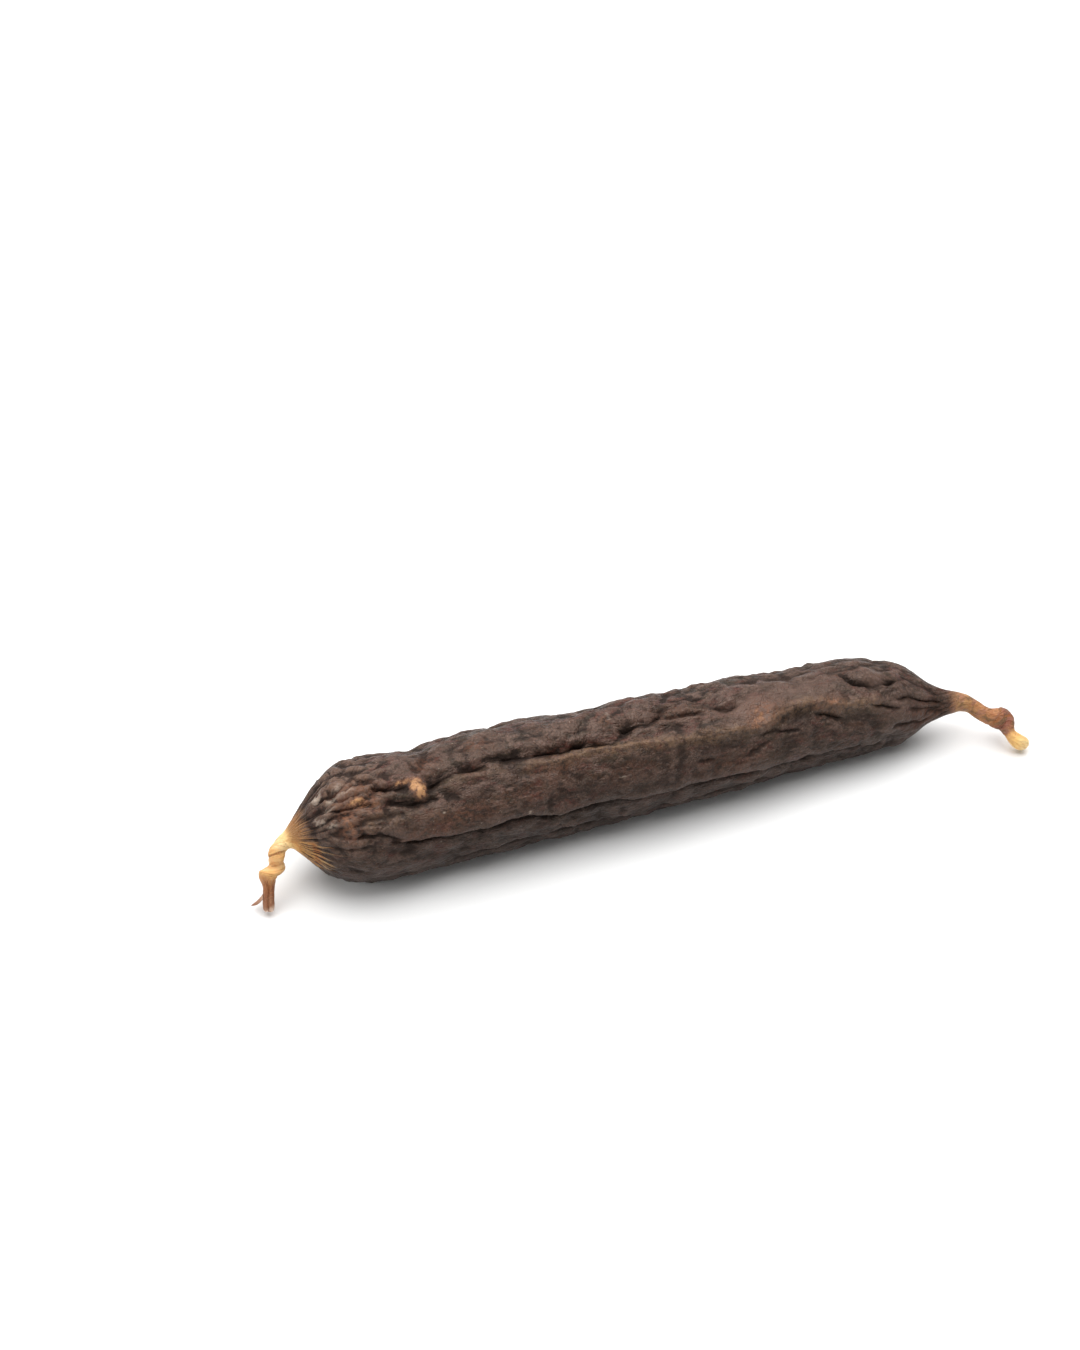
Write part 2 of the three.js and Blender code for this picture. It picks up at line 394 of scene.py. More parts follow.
# Places where the casing is redder.
REDS = (
    Spot(11, 46, 1.8, 4.0, 1.3),
    Spot(15, 60, 3.0, 2.4, 0.8),
    Spot(13, 84, 4.0, 2.0, 0.8),
    Spot(111.6, 56, 3.0, 1.6, 0.7),
    Spot(97, 62, 4.0, 2.8, 0.9),
    Spot(53, 52, 4.0, 1.4, 0.7),
    Spot(46, 38, 8.0, 2.6, 0.45),
    Spot(32, 31, 7.0, 2.2, 0.75),
    Spot(24, 22, 5.0, 1.6, 0.5),
    Spot(66, 36, 7.0, 3.0, 0.35),
    Spot(39, 95, 3.0, 2.0, 0.8),
    Spot(28, 88, 3.0, 2.4, 0.8),
    Spot(14, 74, 5.0, 2.4, 0.6),
    Spot(80, 84, 5.0, 2.4, 0.5),
    Spot(135, 12, 4.0, 3.0, 0.6),
    Spot(88, 18, 8.0, 3.0, 0.4),
)

# Pale flecks of dried fat.
FLECKS = (
    Spot(28.9, 37.5, 0.45, 0.45, 1.0),
    Spot(60.8, 31, 0.35, 0.3, 0.9),
    Spot(65.6, 30.5, 0.7, 0.3, 0.9),
    Spot(45.6, 18.5, 0.5, 0.4, 0.8),
    Spot(6.6, 96, 1.2, 1.3, 0.9),
    Spot(10.8, 91, 1.2, 0.7, 0.7),
    Spot(8.0, 50, 1.1, 0.5, 0.9),
    Spot(6.2, 59, 1.3, 1.1, 0.7),
    Spot(8.2, 69, 1.6, 0.8, 0.6),
    Spot(9.0, 80, 1.8, 0.7, 0.55),
    Spot(12.5, 80, 1.4, 0.6, 0.5),
    Spot(95.2, 45, 0.7, 0.6, 0.5),
    Spot(66, 94, 0.7, 1.5, 0.45),
)

# Painted shade in folds, below the seam and on the front; painted light on the top faces where the amount is
# negative.
# A few of them are also darker or paler patches of the casing itself.
PAINTED_SHADE_AND_LIGHT = (
    Spot(47, -17, 3.0, 4.0, 0.9),
    Spot(60, -15, 3.5, 4.5, 0.9),
    Spot(85, 43, 5.0, 2.6, 1.0),
    Spot(104, 47, 4.5, 2.2, 1.05),
    Spot(99, 53, 2.5, 1.8, 0.5),
    Spot(117, 80, 2.0, 1.8, 0.7),
    Spot(127, 74, 2.0, 1.4, 0.6),
    Spot(22, 51, 4.0, 1.8, 0.6),
    Spot(20, 71, 3.0, 1.4, 0.7),
    Spot(43, 69, 6.0, 2.0, 0.5),
    Spot(62, 24, 8.0, 3.5, 0.4),
    Spot(77, 12, 9.0, 3.0, 0.35),
    Spot(32, -12, 9.0, 4.0, 0.5),
    Spot(105, 76, 13.0, 6.5, -0.55),
    Spot(91, 66, 8.0, 4.0, -0.4),
    Spot(95.4, 61, 3.0, 2.2, -0.9),
    Spot(93.6, 66, 2.2, 1.2, -0.5),
    Spot(128, 34, 7.0, 7.0, -0.45),
    Spot(123, 80, 2.4, 2.0, -0.5),
    Spot(14, 98, 7.0, 6.0, -0.2),
    Spot(36, 86, 8.0, 2.5, -0.15),
    Spot(55, 88, 9.0, 3.0, -0.08),
    Spot(66, 32, 14.0, 6.0, 0.3),
    Spot(20, 38, 6.0, 3.0, 0.35),
    Spot(72, 86, 4.0, 2.4, -0.4),
    Spot(54, 69, 6.0, 1.3, 0.55),
    Spot(31, 70, 4.0, 1.2, 0.5),
    Spot(73, 77, 3.0, 1.3, 0.6),
    Spot(24, 13, 6.0, 1.2, 0.5),
    Spot(40, 8, 8.0, 1.2, 0.5),
    Spot(60, 2.5, 9.0, 1.2, 0.5),
    Spot(84, -4, 10.0, 1.3, 0.5),
    Spot(106, -11, 9.0, 1.3, 0.5),
    Spot(33, 96, 7.0, 3.0, 0.35),
)


@dataclass(frozen=True)
class Kink:
    """A sideways jog of a tail, as points of distance, shift to the front and shift up."""

    points: tuple[tuple[float, float, float], ...]

    def shift(self, distance: Array) -> tuple[Array, Array]:
        """Give the jog along the sausage.

        Args:
            distance: Distance from the left pinch.

        Returns:
            The shifts to the front and up at each distance.
        """
        curve = through(np.array(self.points, float), 12)
        return np.interp(distance, curve[:, 0], curve[:, 1]), np.interp(distance, curve[:, 0], curve[:, 2])


LEFT_KINK = Kink(
    ((-15, 0, 0), (-11, 0, 0), (-9.7, 0, 0.15), (-8.7, 0.05, 0.6), (-7.7, 0.2, 0.95), (-6.9, 0.1, -0.2),
     (-6.1, -0.2, -1.35), (-5.2, -0.1, -0.85), (-4.2, 0, -0.1), (-2, 0, 0), (0, 0, 0))
)
RIGHT_KINK = Kink(
    ((140, 0, 0), (143, 0, 0.2), (146, 0.25, -0.1), (148.5, 0.1, -0.1), (150.3, 0, 0.25), (152, -0.1, 0.1),
     (153.4, 0.3, 0), (154.7, 1.2, 0), (156.3, 1.0, 0), (158, 0.55, 0), (159, 0.4, 0))
)


@dataclass
class Centreline:
    """The sausage's bent middle line, with the directions across it."""

    points: tuple[tuple[float, float, float], ...] = (
        (-76.4, -8.6, 1.2), (-75.6, -6.0, 3.6), (-74.9, -4.1, 5.6), (-73.9, -3.0, 7.0), (-73.0, -1.9, 8.5),
        (-71.8, -0.7, 10.0), (-70, 0, 10.8), (-60, -0.2, 11.4), (-42, -0.1, 11.7), (-28, 0.3, 11.9),
        (-14, 0.9, 11.5), (0, 1.2, 11.3), (14, 1.8, 11.1), (28, 2.6, 10.6), (42, 3.3, 9.9), (51, 3.4, 9.5),
        (60, 2.3, 9.1), (66, 0.8, 8.7), (70, 0, 8.5), (72, -0.6, 8.3), (74.1, -1.7, 7.8),
        (76.1, -3.2, 6.9), (78, -4.3, 5.9), (80.1, -5.2, 5.0), (81.1, -6.7, 3.9), (82.2, -8.5, 2.6),
        (83.7, -10.0, 1.3),
    )
    kinks: tuple[Kink, ...] = (LEFT_KINK, RIGHT_KINK)
    samples: int = 60

    def frames(self, distance: Array) -> tuple[Array, Array, Array]:
        """Place the rings.

        Args:
            distance: Distance of each ring from the left pinch.

        Returns:
            Each ring's centre, its direction to the front and its direction up.
        """
        line = through(np.array(self.points, float), self.samples)
        length = np.concatenate([[0.0], np.cumsum(np.linalg.norm(np.diff(line, axis=0), axis=1))])
        wanted = (distance + LEFT_TAIL) / TOTAL * length[-1]
        centre = np.stack([np.interp(wanted, length, line[:, axis]) for axis in range(3)], axis=1)
        front, up = self._across(centre, distance)
        for kink in self.kinks:
            ahead, above = kink.shift(distance)
            near = (distance > kink.points[0][0]) & (distance < kink.points[-1][0] + 1e-6)
            centre = centre + np.where(near, ahead, 0)[:, None] * front
            centre = centre + np.where(near, above, 0)[:, None] * up
        return centre, front, up

    @staticmethod
    def _across(centre: Array, distance: Array) -> tuple[Array, Array]:
        """Carry the up direction from the middle to both ends without rolling.

        Args:
            centre: Points on the line.
            distance: Their distances along it.

        Returns:
            The directions to the front and up at each point.
        """
        along = np.gradient(centre, distance, axis=0)
        along /= np.linalg.norm(along, axis=1)[:, None]
        up = np.zeros_like(centre)
        middle = int(np.argmin(np.abs(distance - BODY / 2)))
        order = [*range(middle, len(centre)), *range(middle - 1, -1, -1)]
        for index in order:
            neighbour = index + (-1 if index > middle else 1)
            last = np.array([0.0, 0.0, 1.0]) if index == middle else up[neighbour]
            level = last - along[index] * (last @ along[index])
            up[index] = level / np.linalg.norm(level)
        return np.cross(along, up), up


@dataclass
class Girth:
    """The plain radius along the sausage: distance from the left pinch, radius."""

    points: Path = (
        (-15, 0.70), (-14.6, 1.05), (-12, 1.12), (-9.8, 1.2), (-8.7, 1.6), (-7.7, 1.8), (-6.9, 1.75),
        (-6, 1.65), (-5, 1.65), (-4, 1.65), (-2, 1.55), (0, 1.85), (1.4, 3.0), (4.2, 6.2), (8.4, 10.0),
        (12, 11.7), (18, 12.5), (28, 12.3), (42, 12.5), (56, 12.1), (70, 11.9), (84, 11.6), (98, 11.0),
        (112, 10.3), (121, 9.8),
        (127, 8.4), (131.6, 6.4), (135, 4.2), (138.5, 2.7), (140, 2.4), (142, 2.1), (144, 1.7), (146, 1.6),
        (148, 1.6), (149.2, 1.9), (150.6, 2.2), (152, 2.15), (153.3, 1.95), (154.6, 1.25), (156.2, 1.5),
        (157.3, 1.62), (158.1, 1.45), (158.6, 1.15), (158.9, 0.75), (159.1, 0.3),
    )

    def at(self, distance: Array) -> Array:
        """The radius at each distance."""
        curve = through(np.array(self.points, float), 24)
        return np.interp(distance, curve[:, 0], curve[:, 1])


# Distance from the left pinch, and how far the casing is wound there, in degrees.
WINDING = (
    (-15, 496), (-12, 502), (-9.5, 500), (-7.6, 430), (-5.8, 320), (-3.4, 140), (-1, 40), (1.5, 4), (8, 0),
    (132, 0), (138, 12), (140, 30), (143, 58), (147, 84), (149, 100), (151, 148), (153.5, 220), (155.5, 250),
    (159, 256),
)


@dataclass
class CasingChart:
    """The casing's surface on a grid: rings along the sausage, columns round it."""

    columns: int = 240
    body_step: float = 0.50
    tail_step: float = 0.29
    crowding: float = 0.3
    crowded_side: float = 50.0
    girth: Girth = field(default_factory=Girth)

    def __post_init__(self) -> None:
        """Lay out the grid and the unbent positions on it."""
        fine_left = np.arange(-LEFT_TAIL, 2.0, self.tail_step)
        body = np.arange(2.0, BODY - 2.0, self.body_step)
        fine_right = np.arange(BODY - 2.0, BODY + RIGHT_TAIL, self.tail_step)
        self.distance = np.concatenate([fine_left, body, fine_right, [BODY + RIGHT_TAIL]])
        even = np.linspace(0.0, 2 * math.pi, self.columns, endpoint=False)
        self.angle = even - self.crowding * np.sin(even - math.radians(self.crowded_side))
        self.radius = self.girth.at(self.distance)
        self.along, self.around = np.meshgrid(self.distance, self.angle, indexing="ij")
        self.reach = np.repeat(self.radius[:, None], self.columns, axis=1)
        self.twist = self._twist()
        twisted = self.around - self.twist
        self.unbent = np.stack(
            [self.along, self.reach * np.cos(twisted), self.reach * np.sin(twisted)], axis=-1
        )

    def spots(self, spots: tuple[Spot, ...]) -> Array:
        """All of a table's spots, added up."""
        return sum(self.spot(spot) for spot in spots)

    def _twist(self) -> Array:
        """How far the casing is wound about its own line, in radians."""
        curve = through(np.array(WINDING, float), 8)
        return np.radians(np.interp(self.along, curve[:, 0], curve[:, 1]))

    def _turn_from(self, angle: float) -> Array:
        """How far each point is turned from an angle, in radians, by the shorter way round."""
        return (self.around - math.radians(angle) + math.pi) % (2 * math.pi) - math.pi

    def spot(self, spot: Spot) -> Array:
        """A soft mask over one spot, from 0 to its amount."""
        across = self._turn_from(spot.angle) * self.reach / spot.width
        return spot.amount * np.exp(-(((self.along - spot.distance) / spot.length) ** 2) - across**2)

    def facing(self, angle: float, spread: float) -> Array:
        """A soft mask over the side that faces an angle, from 0 to 1."""
        return np.exp(-((self._turn_from(angle) / math.radians(spread)) ** 2))

    def soften(self, height: Array, passes: int) -> Array:
        """Blur a map of the casing.

        Args:
            height: One value for each grid point.
            passes: How often each point is averaged with its neighbours.

        Returns:
            The blurred map.
        """
        for _ in range(passes):
            height = (np.roll(height, 1, 1) + 2 * height + np.roll(height, -1, 1)) / 4
            padded = np.pad(height, ((1, 1), (0, 0)), mode="edge")
            height = (padded[:-2] + 2 * padded[1:-1] + padded[2:]) / 4
        return height


@dataclass
class CasingRelief:
    """How far the dried casing lies above or below its plain girth, and how far it is tucked round.

    Height, slide_along and slide_around are in mm. A ridge mask says where a ridge is, for a painted
    highlight, and a crease mask where the bottom of a fold is, for a painted dark line of shade.
    """

    chart: CasingChart
    seed: int = 11
    swell: float = 0.40
    wrinkle: float = 0.72
    dent: float = 0.56
    crinkle: float = 0.25
    wander: float = 0.35
    ragged: float = 0.16
    gather: float = 1.45
    pleats_left: int = 44
    pleats_right: int = 17
    pleat_depths: tuple[float, float] = (0.42, 0.46)
    pleat_reaches: tuple[float, float] = (12.0, 15.0)
    gathered: Spot = Spot(11.0, 76.0, 9.0, 13.0, 1.3)
    strand_left: float = 0.14
    strand_pinch: float = 0.27
    strand_right: float = 0.42
    split_depth: float = 0.38
    wrap_depth: float = 0.22
    tail_roughness: float = 0.09
    step_reach: float = 7.0
    ridge_light_width: float = 1.3
    crease_shade_width: float = 0.42

    def __post_init__(self) -> None:
        """Draw the noise, and wander the lines that the creases are measured from."""
        self.broad = GradientNoise(self.seed)
        self.middle = GradientNoise(self.seed + 1)
        self.fine = GradientNoise(self.seed + 2)
        chart = self.chart
        room = self.wander * smoothstep(chart.reach, 1.5, 5.0)
        self.along = chart.along + room * self.middle.layered(chart.unbent * (0.25, 0.3, 0.3) + 40, 2)
        turn = room * self.middle.layered(chart.unbent * (0.25, 0.3, 0.3) + 70, 2)
        ragged = self.ragged * smoothstep(chart.reach, 1.5, 5.0)
        self.along = self.along + ragged * self.fine.layered(chart.unbent * 0.9 + 11, 2)
        turn = turn + ragged * self.fine.layered(chart.unbent * 0.9 + 60, 2)
        self.around = chart.around + turn / np.maximum(chart.reach, 1.0)
        self.uneven = 1.05 + 0.45 * self.fine.layered(chart.unbent * 0.22 + 20, 2)
        self.uneven = self.uneven + 0.25 * self.middle(chart.unbent * 0.7 + 90)
        self.height = np.zeros_like(chart.along)
        self.slide_along = np.zeros_like(chart.along)
        self.slide_around = np.zeros_like(chart.along)
        self.ridge_light = np.zeros_like(chart.along)
        self.crease_shade = np.zeros_like(chart.along)

    def shape(self) -> None:
        """Add up all of the relief: height, slide_along, slide_around, and the masks for the painted ridge
        highlight and crease shade.
        """
        chart = self.chart
        meat = smoothstep(chart.along, 1.0, 14.0) * (1 - smoothstep(chart.along, BODY - 16, BODY - 2))
        self.height += meat * (self._swells() + self._wrinkles()) + self._dents()
        self.height += self._pleats() + self._gathers() + self._tails()
        for crease in CREASES:
            self._crease(crease)
        for lump in LUMPS:
            self.height += chart.spot(lump)

    def _swells(self) -> Array:
        """Broad soft flats and bulges that run along the sausage."""
        where = self.chart.unbent * (1 / 34, 1 / 10, 1 / 10)
        return self.swell * self.broad.layered(where, 2)

    def _wrinkles(self) -> Array:
        """Rounded wrinkles with sharp valleys between them, stronger on the back."""
        unbent = self.chart.unbent
        bend = self.broad.bend(unbent * (0.09, 0.16, 0.16), (3, 31, 57))
        long_wrinkles = self.middle(unbent * (1 / 15, 1 / 5.2, 1 / 5.2) + 0.55 * bend)
        short_wrinkles = self.fine(unbent * (1 / 6.5, 1 / 2.6, 1 / 2.6) + 0.5 * bend)
        patches = smoothstep(self.broad(unbent * (1 / 22, 1 / 9, 1 / 9) + 80), -0.35, 0.4)
        side = 0.42 + 0.95 * self.chart.facing(175, 68) + 0.40 * self.chart.facing(98, 34)
        side = side * (1 - 0.3 * self.chart.facing(26, 34))
        rounded = np.abs(long_wrinkles) ** 0.75 - 0.45
        small = np.abs(short_wrinkles) ** 0.8 - 0.45
        return self.wrinkle * side * (rounded + (0.25 + 0.45 * patches) * small)

    def _dents(self) -> Array:
        """Shallow dents and crinkles all over, which fade on the bare tails."""
        unbent = self.chart.unbent
        room = smoothstep(self.chart.reach, 2.0, 9.0)
        warp = 0.6 * self.fine.bend(unbent * 0.22, (5, 25, 45))
        dents = self.middle(unbent * (0.19, 0.25, 0.25) + warp)
        crinkles = 0.5 - np.abs(self.fine(unbent * (0.46, 0.66, 0.66) + warp)) ** 0.8
        finer = 0.5 - np.abs(self.middle(unbent * (0.85, 1.1, 1.1) + warp + 9))
        rough = 0.45 + 0.9 * smoothstep(self.broad(unbent * (0.05, 0.13, 0.13) + 33), -0.4, 0.5)
        rough = rough + self.chart.spot(self.gathered)
        return room * (self.dent * dents - self.crinkle * rough * (crinkles + 0.5 * finer))

    def _pleats(self) -> Array:
        """Gathers of casing that run into both pinches."""
        chart = self.chart
        turned = chart.around - chart.twist
        wander = 0.35 * self.middle(chart.unbent * (0.08, 0.3, 0.3) + 9)
        total = np.zeros_like(chart.along)
        ends = (
            (chart.along, self.pleats_left),
            (BODY - chart.along, self.pleats_right),
        )
        for (inward, count), depth, fade in zip(ends, self.pleat_depths, self.pleat_reaches):
            shape = np.abs(np.sin(count / 2 * turned + 6 * wander)) ** 0.6 - 0.6
            circle = np.stack([0 * turned, np.cos(turned), np.sin(turned)], -1)
            uneven = 0.35 + 1.5 * np.abs(self.fine(circle * 3 + 6))
            room = smoothstep(inward, -0.5, 2.5) * (1 - smoothstep(inward, 3.5, fade))
            total += depth * shape * uneven * room
        return total

    def _gathers(self) -> Array:
        """Uneven folds that run from the left pinch over the end, mostly on its upper side."""
        chart = self.chart
        girth = 3.7
        rings = np.stack(
            [0.13 * chart.along, girth * np.cos(chart.around), girth * np.sin(chart.around)], axis=-1
        )
        bend = 0.5 * self.broad.bend(chart.unbent * 0.16, (13, 41, 67))
        lines = np.abs(self.fine(rings + bend)) ** 0.7
        room = smoothstep(chart.along, 2.0, 6.0) * (1 - smoothstep(chart.along, 13.0, 24.0))
        side = 0.25 + chart.facing(80, 48) + 0.45 * chart.facing(190, 60)
        return self.gather * room * side * (lines - 0.42)

    def _tails(self) -> Array:
        """The wound strands of the bare gut."""
        chart = self.chart
        turned = chart.around - chart.twist
        left = 1 - smoothstep(chart.along, -2.5, 0.5)
        past_knot = smoothstep(chart.along, BODY + 14, BODY + 15.5)
        right = smoothstep(chart.along, BODY, BODY + 3) * (1 - 0.95 * past_knot)
        wound = self.strand_left + self.strand_pinch * np.exp(-(((chart.along + 3.3) / 1.3) ** 2))
        lobes = (np.abs(np.cos(turned)) ** 0.8 - 0.75) * (wound * left + self.strand_right * right)
        split = smoothstep(-chart.along, LEFT_TAIL - 6, LEFT_TAIL - 4.5)
        groove = -self.split_depth * split * np.exp(-((np.cos(turned) / 0.30) ** 2))
        notch = smoothstep(-chart.along, LEFT_TAIL - 1.2, LEFT_TAIL)
        from_wrap = chart.along - BODY - 9.6 - 0.5 * np.sin(chart.around)
        wrap = -self.wrap_depth * np.exp(-((from_wrap / 0.35) ** 2))
        rough = self.tail_roughness * self.fine.layered(chart.unbent * (0.45, 1.2, 1.2), 2)
        return lobes + groove * (1 + notch) + wrap + (left + right) * rough

    def _crease(self, crease: Crease) -> None:
        """Add one crease or ridge to the relief.

        Args:
            crease: The crease.
        """
        chart = self.chart
        line = through(np.array(crease.path, float), 6)
        girth = chart.girth.at(line[:, 0])
        reach = 7.0 * max(crease.above, crease.below) + (9.0 if crease.step else 0.0)
        near = np.abs(chart.distance - line[:, 0].mean()) < np.ptp(line[:, 0]) / 2 + reach
        along = self.along[near]
        around = np.degrees(self.around[near])
        nearest = np.full(along.shape, np.inf)
        side, travelled, out_along, out_around = (np.zeros(along.shape) for _ in range(4))
        done = 0.0
        for (s0, a0), (s1, a1), radius in zip(line, line[1:], girth):
            scale = math.radians(1) * radius
            step = np.array([s1 - s0, (a1 - a0) * scale])
            length = max(float(np.hypot(*step)), 1e-6)
            turn = ((around - a0 + 180) % 360 - 180) * scale
            ahead = np.clip(((along - s0) * step[0] + turn * step[1]) / length**2, 0.0, 1.0)
            away_s = along - s0 - ahead * step[0]
            away_a = turn - ahead * step[1]
            apart = np.hypot(away_s, away_a)
            closer = apart < nearest
            nearest = np.where(closer, apart, nearest)
            side = np.where(closer, np.sign(step[0] * away_a - step[1] * away_s), side)
            travelled = np.where(closer, done + ahead * length, travelled)
            out_along = np.where(closer, away_s, out_along)
            out_around = np.where(closer, away_a, out_around)
            done += length
        over = side >= 0
        width = np.where(over, crease.above, crease.below)
        ends = min(crease.ends, 0.5 * done)
        taper = smoothstep(travelled, -0.3, ends) * smoothstep(done - travelled, -0.3, ends)
        sharp = 0.72 * np.exp(-((nearest / width) ** 1.3)) + 0.28 * np.exp(-((nearest / (2.8 * width)) ** 2))
        crest = nearest - 2.0 * width
        lip = crease.lip * np.exp(-((crest / np.where(crest > 0, 3.0 * width, 1.1 * width)) ** 2)) * over
        sunk = crease.step * np.exp(-((nearest / self.step_reach) ** 1.5))
        sunk = sunk * ~over * smoothstep(nearest, 0.0, 0.6)
        strength = taper * np.clip(self.uneven[near], 0.65, 1.5)
        self.height[near] += strength * (lip - crease.depth * sharp) - taper * sunk
        # The ridge mask becomes a painted highlight on the ridges, and the crease mask a painted dark line
        # of shade at the fold's bottom.
        if crease.depth < 0:
            self.ridge_light[near] -= crease.depth * strength * np.exp(-((nearest / self.ridge_light_width) ** 2))
        else:
            darkness = min(crease.depth, 1.0) * strength * np.exp(-((nearest / self.crease_shade_width) ** 2))
            self.crease_shade[near] = np.maximum(self.crease_shade[near], darkness)
        roll = (nearest / width) * np.exp(1 - nearest / width) * over * crease.tuck * strength
        self.slide_along[near] -= roll * out_along / np.maximum(nearest, 0.05)
        self.slide_around[near] -= roll * out_around / np.maximum(nearest, 0.05)


@dataclass
class Sliver:
    """A thin torn strip of gut that sticks out beside the left tail's cut end."""

    distance: float = -12.0
    rings: int = 4
    angle: float = 136.0
    spread: float = 30.0
    reach: tuple[float, float, float] = (-2.5, -0.15, -1.7)
    widths: tuple[float, ...] = (1.0, 0.98, 0.96, 0.94, 0.92, 0.88, 0.82, 0.7, 0.5)
    paling: float = 1.05

    def grow(
        self, bm: bmesh.types.BMesh, faces: list[bmesh.types.BMFace], chart: bmesh.types.BMLayerItem
    ) -> None:
        """Pull the strip out of the tail's side.

        Args:
            bm: The sausage's mesh, in millimetres.
            faces: The patch of faces that it grows from.
            chart: The layer with each vertex's unbent position, which the finish reads.
        """
        steps = len(self.widths)
        for step, width in enumerate(self.widths):
            out = bmesh.ops.extrude_face_region(bm, geom=faces)
            verts = [item for item in out["geom"] if isinstance(item, bmesh.types.BMVert)]
            bmesh.ops.delete(bm, geom=faces, context="FACES_ONLY")
            faces = [item for item in out["geom"] if isinstance(item, bmesh.types.BMFace)]
            bow = Vector((0, 0, 0.16 * math.cos(math.pi * (step + 0.5) / steps)))
            bmesh.ops.translate(bm, verts=verts, vec=Vector(self.reach) / steps - bow)
            middle = sum((vert.co for vert in verts), Vector()) / len(verts)
            for vert in verts:
                vert.co = middle + (vert.co - middle) * width
                vert[chart].x = self.paling * step / steps - LEFT_TAIL


